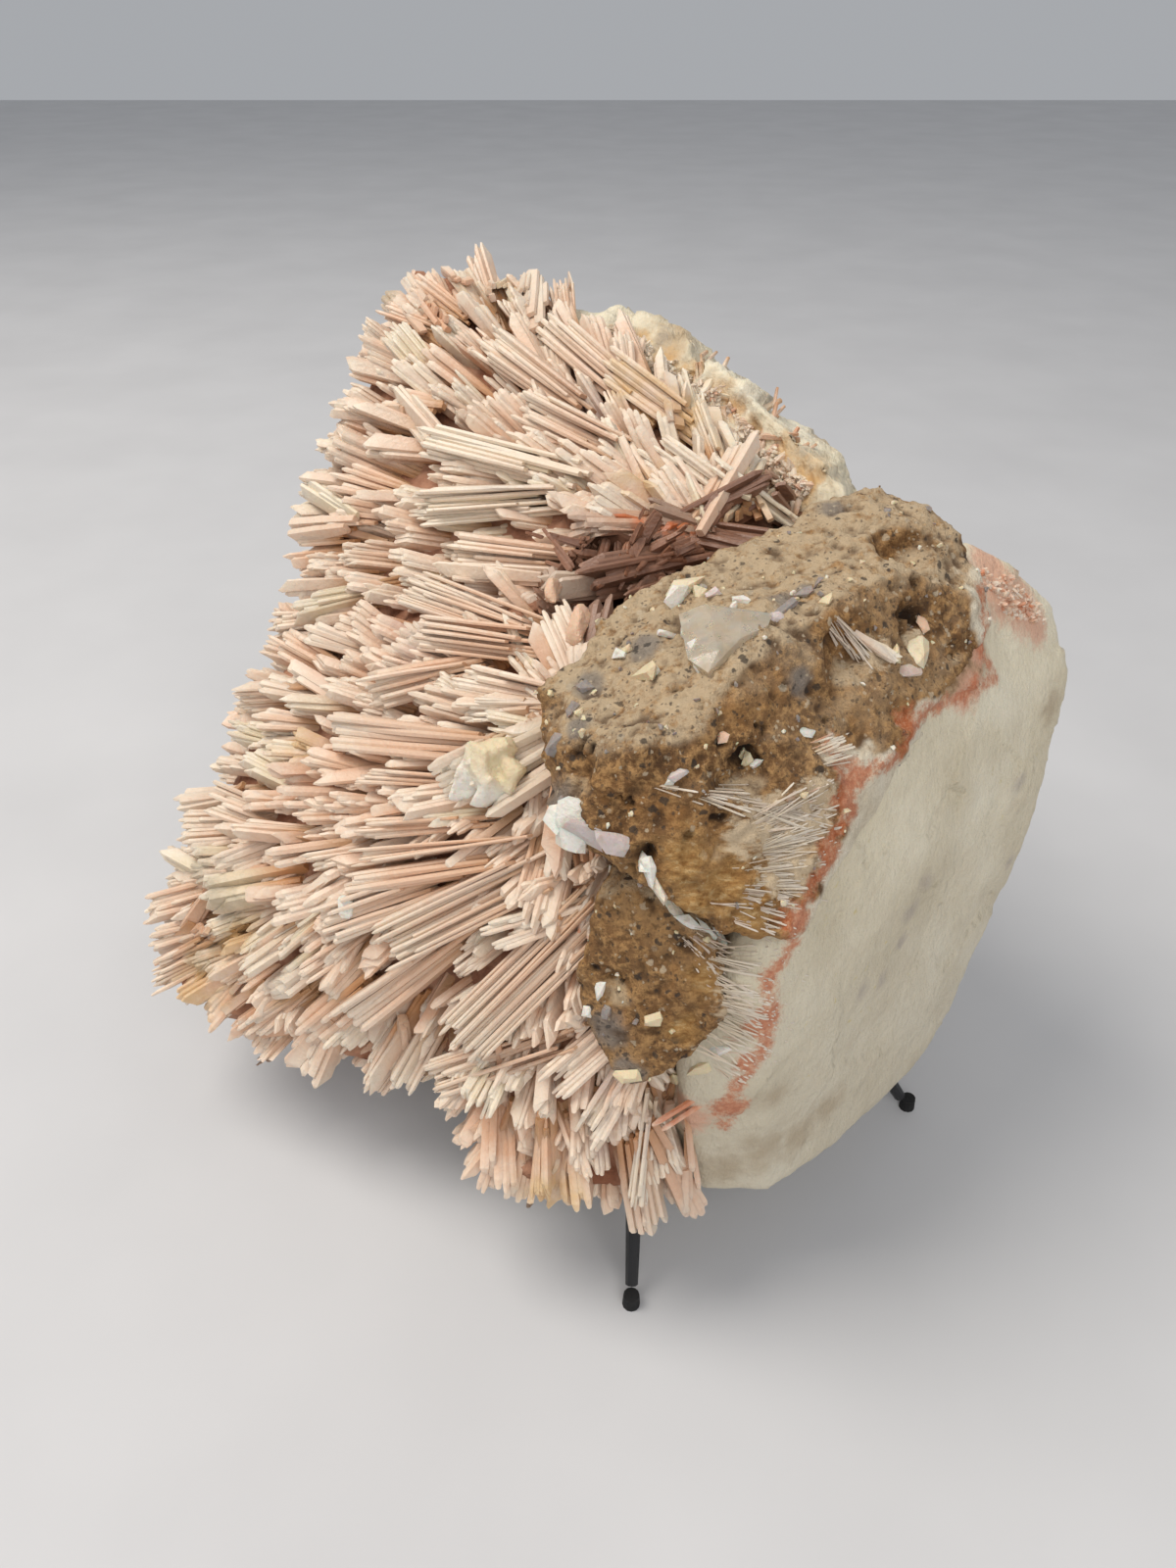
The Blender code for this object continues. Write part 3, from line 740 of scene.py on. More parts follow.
def rock_pits(co, tree):
    """Places, radii and depths of the many small pits and of the holes seen in the picture."""
    rng = np.random.default_rng(PIT_SEED)
    picks = rng.integers(0, len(co), PIT_COUNT)
    radii = PIT_RADIUS + PIT_SPREAD * rng.random(PIT_COUNT) ** PIT_POWER
    depths = radii * rng.uniform(0.6, 1.1, PIT_COUNT)
    centres, radii, depths = list(co[picks]), list(radii), list(depths)
    for across, down, radius, depth in ROCK_HOLES:
        spot = seen(across, down, [tree])
        if spot is not None:
            for _ in range(PITS_IN_A_HOLE):
                centres.append(spot + rng.normal(0, radius * 0.45, 3))
                radii.append(radius * rng.uniform(0.55, 0.95))
                depths.append(depth * rng.uniform(0.6, 1.0))
    return centres, radii, depths


def rock(surface):
    obj = dense_copy("host_rock", "matrix_rock", ROCK_VOXEL, 6, surface)
    co, out = points_and_normals(obj)
    small = 0.5 * waves(co, 2.6, 2, 5) + 0.36 * waves(co, 1.15, 2, 9)
    rise = 0.7 * waves(co, 7.0, 2, 3) + small
    crest = 1 - np.abs(lattice(co / 5.0, 21))
    rise += 0.5 * (crest - 0.6) * (crest > 0.6)
    sink, inside = pits(co, *rock_pits(co, tree_of(obj)))
    calm = 1 - 0.75 * edge_share(co, WHITE_PART, 14)
    place(obj, co + out * ((rise - sink) * calm)[:, None], smooth=True)
    # Mask for the painted shade inside the pits and holes.
    attribute(obj, "pit", inside * calm)
    # Mask for the painted shade in the low points of the small relief.
    attribute(obj, "low", smoothstep(-0.12, -0.6, small))
    # Upward-facing share: partly dust, partly painted light on the lit top.
    attribute(obj, "dust_and_top_light", smoothstep(0.5, 0.9, out[:, 2]))
    return obj, tree_of(obj)


def facets(co, gap, tilt, seed):
    """Offsets of tilted facets about gap millimetres wide, as on a broken surface."""
    rng = np.random.default_rng(seed)
    low, high = co.min(axis=0), co.max(axis=0)
    count = int(np.prod((high - low) / gap))
    centres = rng.uniform(low, high, (count, 3))
    tilts = rng.normal(0, tilt, (count, 3))
    kd = kd_tree(centres)
    wander = np.stack([waves(co, gap * 0.6, 2, seed + k) for k in range(3)], axis=1) * gap * 0.12
    near = np.array([kd.find(spot)[1] for spot in co + wander])
    return ((co - centres[near]) * tilts[near]).sum(axis=1)


def mordenite(surface):
    obj = dense_copy("mordenite_body", "mordenite_mass", MORDENITE_VOXEL, 5, surface)
    co, out = points_and_normals(obj)
    hidden = smoothstep(-10, 25, co[:, 1])
    behind = 0.9 * waves(co, 9.0, 3, 15) + 0.25 * waves(co, 2.4, 2, 16)
    rise = 0.35 * waves(co, 11.0, 3, 13) + hidden * behind
    broken = hidden * smoothstep(30, 42, co[:, 2])
    rise += broken * np.clip(facets(co, 15, 0.17, 71) + 0.6 * facets(co, 6, 0.15, 72), -2.2, 1.6)
    rise += 0.1 * waves(co, 3.2, 2, 18) + 0.25 * facets(co, 13, 0.12, 73) * smoothstep(25, 32, co[:, 2])
    flat = co[:, 2] < co[:, 2].min() + 0.3
    co = co + out * np.where(flat, 0, rise)[:, None]
    co[:, 2] = np.maximum(co[:, 2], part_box("mordenite_mass")[0].z / MM)
    place(obj, co, smooth=True)
    attribute(obj, "hidden", hidden)
    # Mask for the painted shade, rising towards the bottom of the mordenite.
    attribute(obj, "foot", smoothstep(105, 30, co[:, 2]))
    return obj, tree_of(obj)


def stains(obj, trees, rim):
    """Colour attributes of rock and mordenite, from places seen in the picture."""
    co = coordinates(obj)
    white = edge_share(co, WHITE_PART, 4)
    attribute(obj, "white", white)
    attribute(obj, "brown", (1 - white) * np.minimum(1, 2.5 * near_places(co, BROWN_PLACES, trees)))
    line = np.clip(1 - distance_to_line(co, rim) / RIM_REACH, 0, 1)
    attribute(obj, "rim", np.maximum(line, 1.25 * near_places(co, RIM_PATCHES, trees)))
    for name, places in STAINS.items():
        attribute(obj, name, near_places(co, places, trees))


# Crystals

# A lath's cross section, which is repeated on rings from its root to its tip, and the faces that
# close its two ends.
HEXAGON = np.array([(-1, 0), (-0.84, 1), (0.84, 1), (1, 0), (0.84, -1), (-0.84, -1)])
SIDES = len(HEXAGON)
RINGS = 4
POINTS = SIDES * RINGS
CAPS = np.array(((3, 2, 1, 0), (5, 4, 3, 0), (18, 19, 20, 21), (18, 21, 22, 23)))
LOWEST = 22.5

# Each layer of sheaves: gap across and along, depth of the tips, length, width of a sheaf,
# half width and half thickness of a plate.
LAYERS = (
    (5.2, 9.5, (-0.6, 1.6), (17, 24), (3.0, 6.5), (1.0, 1.9), (0.32, 0.74)),
    (4.6, 7.0, (1.0, 3.6), (12, 16), (2.6, 5.4), (0.9, 1.6), (0.36, 0.62)),
)

# Points on the surface that the sheaves lean away from, and how flat they lie beside them.
HUBS = ((-1, -50, 99), (21, -5, 106))
FLATTEST = 0.35

# How near to the surface a root begins to take the colours of a tip.
SHALLOW = 3.5

# Sheaves seen well in the picture: root, tip, width, hue, rust, half width of a plate.
SHEAVES = (
    ((480, 838), (368, 846), 3.0, 0.2, 0.1, 1.4), ((500, 858), (362, 876), 3.2, 0.3, 0.05, 1.4),
    ((505, 880), (358, 902), 3.6, 0.3, 0.05, 1.5), ((555, 885), (398, 962), 8.0, 0.6, 0.0, 2.2),
    ((592, 928), (498, 958), 5.0, 0.7, 0.0, 0.9), ((610, 925), (472, 1062), 9.0, 0.6, 0.0, 2.3),
    ((505, 800), (368, 792), 2.6, 0.15, 0.15, 1.3), ((560, 725), (474, 724), 4.0, 0.75, 0.0, 1.6),
    ((475, 683), (378, 706), 6.5, 0.45, 0.0, 1.8), ((660, 1140), (650, 1232), 3.2, 0.85, 0.0, 1.4),
    ((560, 1062), (444, 1102), 6.5, 0.5, 0.0, 1.8), ((575, 484), (440, 450), 6.5, 0.85, 0.0, 2.3),
    ((545, 510), (424, 518), 7.0, 0.85, 0.0, 2.4), ((620, 455), (532, 410), 7.0, 0.5, 0.05, 1.7),
    ((580, 410), (498, 348), 7.0, 0.6, 0.0, 1.9), ((575, 572), (464, 560), 6.0, 0.5, 0.1, 1.9),
    ((560, 662), (428, 645), 6.0, 0.25, 0.1, 1.6), ((570, 712), (474, 692), 4.5, 0.6, 0.0, 1.5),
    ((730, 500), (662, 452), 6.0, 0.85, 0.0, 1.6), ((800, 528), (732, 478), 3.2, 1.0, 0.0, 1.3),
    ((640, 1040), (560, 1110), 5.5, 0.55, 0.1, 1.5), ((650, 1080), (600, 1160), 5.0, 0.7, 0.1, 1.5),
    ((530, 640), (420, 600), 7.0, 0.5, 0.05, 1.8), ((640, 400), (560, 330), 7.0, 0.6, 0.0, 1.8),
    ((762, 1108), (704, 1152), 4.0, 0.3, 1.1, 1.2), ((740, 1100), (672, 1142), 4.0, 0.3, 0.7, 1.2),
    ((480, 760), (340, 745), 6.0, 0.45, 0.05, 1.7), ((440, 905), (330, 945), 7.0, 0.5, 0.0, 1.9),
    ((470, 960), (360, 1040), 6.5, 0.4, 0.1, 1.8), ((700, 430), (625, 375), 6.0, 0.7, 0.0, 1.6),
)

# The dark cavity behind the rock, and how near to it no sheaf stands.
CAVITY_LINE = [(640, 572), (665, 583), (695, 578), (725, 566), (755, 555), (785, 538), (805, 515)]
HOLE_REACH = 5.5

# Short crystals on the edge of the wall and in the cavity: outline in the picture, how many,
# length, width of a sheaf, hue, rust, lift from the surface, darkness as painted shade.
DRUSES = (
    ([(600, 325), (645, 345), (708, 385), (760, 432), (828, 497), (815, 515), (755, 475), (690, 422),
      (630, 365)],
     260, (3.5, 7.0), (1.4, 3.0), 0.95, 0.1, 1.4, 0.0),
    ([(700, 400), (728, 398), (780, 448), (828, 498), (800, 514), (755, 485), (712, 440)],
     120, (3.5, 6.5), (1.2, 2.6), 0.5, 0.45, 1.7, 0.25),
    ([(622, 520), (650, 508), (700, 512), (738, 518), (735, 542), (700, 556), (655, 552), (630, 545)],
     60, (5, 8), (2.0, 4.0), 0.1, 0.3, 3.4, 0.42),
    ([(660, 572), (700, 560), (770, 545), (800, 520), (815, 525), (790, 560), (720, 585), (680, 592)],
     130, (2.5, 4), (1.0, 2.2), 0.3, 0.2, 0.8, 1.0),
    ([(560, 550), (640, 545), (700, 560), (690, 592), (655, 600), (575, 590)],
     80, (3, 5.5), (1.2, 2.8), 0.3, 0.15, 1.2, 1.0),
    ([(1000, 575), (1030, 590), (1062, 618), (1066, 636), (1030, 628), (1005, 600)],
     110, (1.2, 2.0), (0.6, 1.2), 0.5, 0.5, 0.5, 0.0),
    ([(905, 490), (940, 505), (975, 530), (965, 540), (930, 520), (900, 505)],
     14, (1.5, 2.5), (0.6, 1.2), 0.9, 0.0, 0.3, 0.0),
)

# Stains of the crystals: places in the picture with their reach.
CRYSTAL_STAINS = {
    "lilac": [(700, 450, 16), (600, 400, 12), (640, 1160, 14), (420, 640, 14), (600, 1110, 10)],
    "rust": [(720, 1145, 7), (700, 1125, 5), (590, 955, 4), (640, 530, 6), (690, 540, 6)],
    "amber": [
        (560, 1225, 14), (600, 1235, 12), (300, 760, 12), (200, 1010, 16), (240, 960, 14),
        (640, 380, 14), (700, 430, 14), (650, 500, 12),
    ],
    "dirt": [
        (222, 915, 12), (200, 890, 9), (395, 300, 8), (250, 940, 10), (200, 980, 10), (320, 1035, 5),
    ],
}


class Laths:
    """Flat laths gathered one by one and made into meshes together."""

    def __init__(self):
        self.rows = []

    def add(self, tip, axis, side, length, width, thick, point, slant, bend, tone, hue, sink, rust, fade):
        self.rows.append((*tip, *axis, *side, length, width, thick, point, slant, bend, tone, hue, sink,
                          rust, fade))

    def mesh(self, name, surface, rows):
        """One object of the given rows."""
        rows = np.array(rows)
        tip, axis, side = rows[:, 0:3], rows[:, 3:6], rows[:, 6:9]
        length, width, thick, point, slant, bend, tone, hue, sink, rust, fade = rows[:, 9:].T
        deep = np.cross(axis, side)
        count = len(rows)
        u, w = HEXAGON.T
        rings = (
            (length, 0.62, 0.8, 0.0),
            (length * 0.5, 0.9, 1.0, 0.2),
            (point, 1.0, 1.0, 0.7),
            (np.zeros(count), 0.66, 0.6, 1.0),
        )
        co, along, streak = [], [], []
        for back, wide, high, cut in rings:
            share = (back / length)[:, None]
            centre = tip[:, None] - axis[:, None] * back[:, None, None]
            centre = centre + deep[:, None] * (bend[:, None] * share * share)[:, :, None]
            ring = centre + side[:, None] * (u * wide * width[:, None])[:, :, None]
            ring = ring + deep[:, None] * (w * high * thick[:, None])[:, :, None]
            ring = ring + axis[:, None] * (u * cut * (slant * width)[:, None])[:, :, None]
            co.append(ring)
            along.append(np.repeat(1 - share, SIDES, axis=1))
            streak.append(np.tile((u + 1) / 2, (count, 1)))
        co = np.stack(co, axis=1).reshape(-1, 3)
        co[:, 2] = np.maximum(co[:, 2], LOWEST)
        along = np.stack(along, axis=1).ravel()
        streak = np.stack(streak, axis=1).ravel()
        k, j = np.meshgrid(np.arange(RINGS - 1), np.arange(SIDES), indexing="ij")
        n = (j + 1) % SIDES
        low, high = k * SIDES, (k + 1) * SIDES
        walls = np.stack((low + j, low + n, high + n, high + j), axis=-1).reshape(-1, 4)
        first = (np.arange(count) * POINTS)[:, None, None]
        faces = (np.concatenate((walls, CAPS))[None] + first).reshape(-1, 4)
        mesh = mesh_from(name, co, faces[:, ::-1], 4)
        mesh.shade_flat()
        obj = new_object(name, mesh, surface)
        fade = np.repeat(fade, POINTS)
        attribute(obj, "along", fade + (1 - fade) * along)
        attribute(obj, "streak", streak)
        for label, values in (("tone", tone), ("hue", hue), ("sink", sink), ("rusty", rust)):
            attribute(obj, label, np.repeat(values, POINTS))
        return obj


def bundle(laths, rng, tip, axis, row, wide, size, length, ragged, splay, sink, hue, rust=0.0, fade=0.0):
    """A sheaf of plates stacked along row, a little fanned, with an uneven end.

    Its width is wide, and size holds half the width and half the thickness of one plate.
    """
    half_width, half_thick = size
    row = unit(row - axis * (row @ axis))
    deep = np.cross(axis, row)
    pitch = half_thick * 1.65
    count = max(2, round(wide / pitch))
    tone = rng.random()
    slope = rng.gauss(0, 0.35)
    for i in range(count):
        off = (i - (count - 1) / 2) * pitch
        part = off / max(wide / 2, 1e-6)
        turn = unit(axis + row * (splay * part) + deep * rng.gauss(0, 0.035))
        short = abs(rng.gauss(0, ragged)) + slope * off + 0.07 * wide * part * part
        if rng.random() < 0.12:
            short += rng.uniform(1.5, 5)
        away = deep * rng.gauss(0, half_width * 0.22)
        spot = tip + row * off + away - turn * short
        own = unit(deep - turn * (deep @ turn) + row * rng.gauss(0, 0.1))
        own = unit(own - turn * (own @ turn))
        laths.add(spot, turn, own, length * rng.uniform(0.85, 1.1),
                  half_width * rng.uniform(0.65, 1.15), half_thick * rng.uniform(0.8, 1.2),
                  rng.uniform(0.3, 1.4), rng.uniform(-1.3, 1.3), rng.gauss(0, 0.3),
                  clamp(tone + rng.gauss(0, 0.15)), clamp(hue + rng.gauss(0, 0.07)), sink, rust, fade)
        if rng.random() < 0.3:
            laths.add(spot + deep * half_width * rng.choice((-0.9, 0.9)) - turn * rng.uniform(2, 6),
                      turn, own, length * 0.6, half_width * 0.55, half_thick * 0.8,
                      rng.uniform(0.4, 1.2), rng.uniform(-0.8, 0.8), 0.0,
                      clamp(tone + rng.gauss(0, 0.2)), clamp(hue), sink, rust, fade)


def fan_directions(count):
    """Directions spread evenly over the whole sphere, on a golden-angle spiral."""
    i = np.arange(count)
    height = 1 - 2 * (i + 0.5) / count
    level = np.sqrt(1 - height * height)
    turn = i * math.pi * (3 - math.sqrt(5))
    return np.stack((level * np.cos(turn), level * np.sin(turn), height), axis=1)


def far_hit(trees, start, direction):
    """Place and normal where a ray leaves the last of several hulls, looked for from outside."""
    reach = OUTSIDE * MM
    hits = [tree.ray_cast(start + direction * reach, -direction, reach)[:2] for tree in trees]
    hits = [hit for hit in hits if hit[0] is not None]
    return max(hits, key=lambda hit: (hit[0] - start).length) if hits else None


def surface_sites(trees):
    """Places on the lobes' surface, each with its outward normal and the direction of its fan."""
    sites = []
    for fan in FANS:
        start = Vector(here(fan)) * MM
        for direction in fan_directions(FAN_RAYS):
            direction = Vector(direction)
            hit = far_hit(trees, start, direction)
            if hit and (hit[0] - start).length > NEAREST_SITE * MM:
                sites.append((np.array(hit[0]) / MM, np.array(hit[1]), np.array(direction)))
    return sites


def sheaf_axis(spot, normal, direction):
    """Direction of a sheaf: away from the nearest hub, flatter the nearer it is."""
    hubs = [here(hub) for hub in HUBS]
    far = [np.linalg.norm(spot - hub) for hub in hubs]
    hub = hubs[int(np.argmin(far))]
    away = spot - hub
    away = unit(away - normal * (away @ normal) + direction * 2)
    away = unit(away - normal * (away @ normal))
    rise = min(1.0, direction @ normal + 0.12)
    rise *= FLATTEST + (1 - FLATTEST) * float(smoothstep(8, 62, min(far)))
    return away * math.sqrt(1 - rise * rise) + normal * rise


def hull_trees():
    trees = []
    for lobe in LOBES:
        obj = new_object("lobe", hull_mesh(lobe, "lobe"))
        trees.append(tree_of(obj))
        bpy.data.objects.remove(obj)
    return trees


def pictured_sheaves(laths, rng, trees):
    """The sheaves that the picture shows well: returns points along them."""
    taken = []
    for root, end, wide, hue, rust, half in SHEAVES:
        low, high = seen(*root, trees), seen(*end, trees)
        if low is None or high is None:
            continue
        out = unit(np.array(CAMERA_PLACE) - high)
        low = low - out * 5.0
        axis = unit(high - low)
        length = np.linalg.norm(high - low) + 3
        row = np.cross(axis, out)
        bundle(laths, rng, high + axis * 0.3, axis, row, wide, (half, rng.uniform(0.3, 0.55)), length,
               rng.choice((0.7, 1.3)), rng.uniform(0.01, 0.05), 0.0, hue, rust, 0.75 if hue > 0.8 else 0.35)
        for step in np.arange(0, length * 0.8, 1.5):
            taken.append((high - axis * step, wide / 2 + 1.6))
    return taken


def druse(laths, rng, trees):
    """Sets short crystals on the surface inside each outline in the picture."""
    for outline, count, lengths, wides, hue, rust, lift, sink in DRUSES:
        low = np.min(outline, axis=0)
        high = np.max(outline, axis=0)
        made = 0
        while made < count:
            place_in = np.array([[rng.uniform(low[0], high[0]), rng.uniform(low[1], high[1])]])
            if not within(place_in, outline)[0]:
                continue
            made += 1
            face = seen_face(*place_in[0], trees)
            if face is None:
                continue
            spot, normal = face
            axis = unit(normal + jitter(rng, 0.35))
            length = rng.uniform(*lengths)
            row = np.cross(axis, jitter(rng, 1))
            bundle(laths, rng, spot + axis * lift * rng.uniform(0.4, 1), axis, row, rng.uniform(*wides),
                   (rng.uniform(0.5, 0.9), rng.uniform(0.3, 0.45)), length, 0.4, 0.05, sink,
                   hue + rng.gauss(0, 0.12), max(0, rust + rng.gauss(0, 0.12)), 0.3)


def crowded(spots, spot, axis, across_gap, along_gap):
    """Whether a sheaf's place lies in the long oval around one that is taken."""
    if not len(spots):
        return False
    delta = spots - spot
    along = delta @ axis
    across = np.sqrt(np.maximum((delta * delta).sum(axis=1) - along * along, 0))
    return ((along / along_gap) ** 2 + (across / across_gap) ** 2 < 1).any()


def crystals(obstacles, trees, ground):
    """All the crystals: those seen well, two layers of sheaves, and the short ones."""
    rng = random.Random(CRYSTAL_SEED)
    sites = surface_sites(trees)
    rng.shuffle(sites)
    laths = Laths()
    taken = pictured_sheaves(laths, rng, trees + obstacles[1:])
    taken_spots = np.array([spot for spot, _ in taken])
    taken_reach = np.array([reach for _, reach in taken])
    hole = seen_line(CAVITY_LINE, trees)
    for number, (across_gap, along_gap, depth, lengths, wides, halves, thicks) in enumerate(LAYERS):
        spots = np.empty((0, 3))
        for spot, normal, direction in sites:
            axis = sheaf_axis(spot, normal, direction)
            if crowded(spots, spot, axis, across_gap, along_gap):
                continue
            spots = np.vstack((spots, spot))
            axis = unit(axis + jitter(rng, 0.13))
            down = rng.uniform(*depth)
            to_hole = np.linalg.norm(hole - spot, axis=1).min()
            if to_hole < HOLE_REACH - number:
                continue
            tip = spot - normal * down
            if number == 0 and (np.linalg.norm(taken_spots - tip, axis=1) < taken_reach).any():
                continue
            if inside_any(obstacles, [tip + axis * step for step in (-6, -2.5, 0.6)]):
                continue
            hue = 0.5 + 0.42 * lattice(spot[None] / 14, 3)[0] + rng.gauss(0, 0.2)
            hue += 0.25 * float(smoothstep(0, 30, spot[0]))
            # Painted shade: the deeper the tip and the nearer the cavity, the darker.
            sink = min(max((down - 1) / 13, 0) + 0.9 * float(smoothstep(20, 8, to_hole)), 1)
            row = np.cross(axis, normal)
            spin = rng.gauss(0, 0.4) if rng.random() < 0.62 else rng.uniform(-1.6, 1.6)
            row = row * math.cos(spin) + np.cross(axis, row) * math.sin(spin)
            bundle(laths, rng, tip, axis, row, rng.uniform(*wides),
                   (rng.uniform(*halves), rng.uniform(*thicks)), rng.uniform(*lengths),
                   rng.choice((0.5, 0.9, 1.6)), rng.uniform(0.0, 0.09), sink, hue)
    clear_of(laths, obstacles)
    rooted(laths, trees, obstacles)
    druse(laths, rng, [ground] + obstacles[1:])
    return laths


def clear_of(laths, obstacles):
    """Drops each plate whose outer part runs through the rock or the mordenite."""
    kept = []
    for row in laths.rows:
        tip, axis, length = np.array(row[0:3]), np.array(row[3:6]), row[9]
        if not inside_any(obstacles, [tip - axis * length * share for share in (0, 0.15, 0.35)]):
            kept.append(row)
    laths.rows = kept


def rooted(laths, lobes, obstacles):
    """Shortens each plate whose root would stick out on the far side of a thin edge.

    A root that lies near the surface there gets the colours of a tip.
    """
    kept = []
    for row in laths.rows:
        tip, axis, length = np.array(row[0:3]), np.array(row[3:6]), row[9]
        for share in (1.0, 0.75, 0.55, 0.4):
            root = Vector(tip - axis * length * share) * MM
            around = [tree for tree in lobes if is_inside(tree, root)]
            if around or any(is_inside(tree, root) for tree in obstacles):
                deep = max([tree.find_nearest(root)[3] / MM for tree in around], default=0.0)
                fade = max(row[-1], 0.8 * (1 - deep / SHALLOW)) if around else row[-1]
                kept.append((*row[:9], length * share, *row[10:-1], fade))
                break
    laths.rows = kept


def split_laths(laths, surface):
    """The laths in a few pieces, from the left to the right."""
    rows = sorted(laths.rows, key=lambda row: row[0])
    parts = math.ceil(len(rows) / LATHS_IN_A_PIECE)
    size = math.ceil(len(rows) / parts)
    return [laths.mesh(f"crystals_{n + 1}", surface, rows[n * size:(n + 1) * size]) for n in range(parts)]


def crystal_stains(obj):
    co = coordinates(obj)
    hull = [tree_of(obj)]
    for name, places in CRYSTAL_STAINS.items():
        attribute(obj, name, near_places(co, places, hull))


def core(surface, trees):
    """The dark base that the crystals stand on, a little below their tips. Its dark brown is painted shade
    for the deep gaps between the crystals.
    """
    whole = bmesh.new()
    for lobe in LOBES:
        mesh = hull_mesh(lobe, "lobe")
        whole.from_mesh(mesh)
        bpy.data.meshes.remove(mesh)
    obj = new_object("crystal_base", mesh_of(whole, "crystal_base"), surface)
    dense(obj, CORE_VOXEL, 2)
    co, out = points_and_normals(obj)
    skin = tree_of(obj)
    depth = np.full(len(co), CORE_DEPTH)
    for i, (point, normal) in enumerate(zip(co, out)):
        inward = Vector(-normal)
        far = skin.ray_cast(Vector(point) * MM + inward * 0.5 * MM, inward)[3]
        depth[i] = min(CORE_DEPTH, THIN_SHARE * far / MM) if far else 0
    place(obj, co - out * depth[:, None])
    dense(obj, CORE_VOXEL, 3)
    co, out = points_and_normals(obj)
    near = distance_to_line(co, seen_line(CAVITY_LINE, trees))
    attribute(obj, "shade", smoothstep(20, 8, near))
    co -= out * (smoothstep(18, 6, near) * 10)[:, None]
    co += out * (0.8 * waves(co, 5, 3, 41))[:, None]
    place(obj, co, smooth=True)
    return obj


# Chips

GRAIN_COLOURS = (0.08, 0.2, YELLOW, YELLOW, GREY, GREY)

# How many points a lump's convex hull is drawn around.
LUMP_POINTS = 15

# Broken pieces on the rock: place in the picture, direction of the long side in degrees,
# length, width and height, colour.
CHIPS = (
    (680, 650, 15, 3.4, 1.6, 1.4, WHITE), (632, 668, -10, 3.0, 1.7, 1.6, WHITE),
    (640, 664, 30, 1.8, 1.2, 1.2, YELLOW), (660, 692, 20, 4.4, 3.2, 1.8, YELLOW),
    (668, 684, -20, 2.4, 1.8, 1.6, WHITE), (756, 614, 10, 2.6, 1.4, 1.1, WHITE),
    (748, 620, 70, 1.6, 1.0, 0.9, WHITE), (843, 614, 55, 2.3, 1.5, 1.4, YELLOW),
    (727, 607, 60, 2.4, 1.6, 1.3, LILAC), (716, 600, 15, 1.7, 1.2, 1.0, WHITE),
    (802, 620, 25, 3.6, 1.6, 0.6, GREY), (820, 606, 40, 3.8, 1.5, 0.6, GREY),
    (834, 596, 50, 2.4, 1.2, 0.5, GREY), (790, 630, 10, 2.8, 1.7, 0.6, LILAC),
    (600, 700, 30, 3.2, 1.6, 1.2, GREY), (584, 726, 65, 3.0, 1.5, 1.2, GREY),
    (566, 760, 75, 3.6, 1.8, 1.6, GREY), (558, 795, 80, 3.2, 1.8, 1.8, GREY),
    (573, 824, 80, 3.4, 1.8, 1.6, GREY), (592, 727, 40, 1.5, 0.9, 0.8, YELLOW),
    (594, 748, 70, 1.4, 0.9, 0.9, YELLOW), (706, 648, 80, 3.0, 1.4, 3.0, WHITE),
    (709, 664, 75, 3.4, 1.5, 2.8, WHITE), (716, 680, 60, 2.6, 1.3, 2.2, WHITE),
    (712, 640, 20, 2.6, 1.2, 3.0, WHITE), (667, 1040, 40, 3.2, 2.4, 1.2, YELLOW),
    (612, 1010, 65, 3.8, 1.6, 1.1, WHITE), (600, 1032, 60, 2.2, 1.4, 1.0, WHITE),
    (619, 1032, 80, 2.4, 1.5, 1.0, GREY), (604, 1098, 85, 3.0, 1.6, 1.2, GREY),
    (622, 1104, 30, 2.6, 1.6, 1.2, WHITE), (765, 775, 20, 2.4, 1.4, 1.6, YELLOW),
    (760, 768, 80, 1.8, 1.0, 1.4, YELLOW), (771, 782, 50, 1.8, 1.1, 1.5, WHITE),
    (738, 752, 10, 2.2, 1.6, 1.5, PEACH), (690, 789, 20, 3.2, 1.8, 1.2, LILAC),
    (684, 797, 10, 2.0, 1.2, 1.0, WHITE), (912, 668, 50, 3.0, 2.0, 1.4, YELLOW),
    (940, 640, 85, 3.2, 1.8, 1.4, PEACH), (820, 745, 0, 3.6, 2.2, 0.9, WHITE),
    (565, 925, 80, 3.0, 2.0, 1.6, WHITE), (560, 888, 10, 4.0, 2.4, 2.0, WHITE),
    (548, 868, 60, 4.4, 3.2, 2.6, YELLOW), (535, 850, 20, 4.8, 3.4, 2.6, YELLOW),
    (552, 905, 0, 4.6, 2.2, 1.6, LILAC), (530, 818, 70, 4.0, 3.2, 2.8, YELLOW),
    (640, 1098, 5, 4.4, 2.2, 1.8, YELLOW), (664, 1104, 0, 4.8, 2.4, 1.8, YELLOW),
    (690, 1100, 10, 4.8, 2.2, 1.6, YELLOW), (712, 1090, 25, 4.2, 2.0, 1.4, YELLOW),
    (735, 1070, 40, 4.0, 1.8, 1.2, WHITE),
)

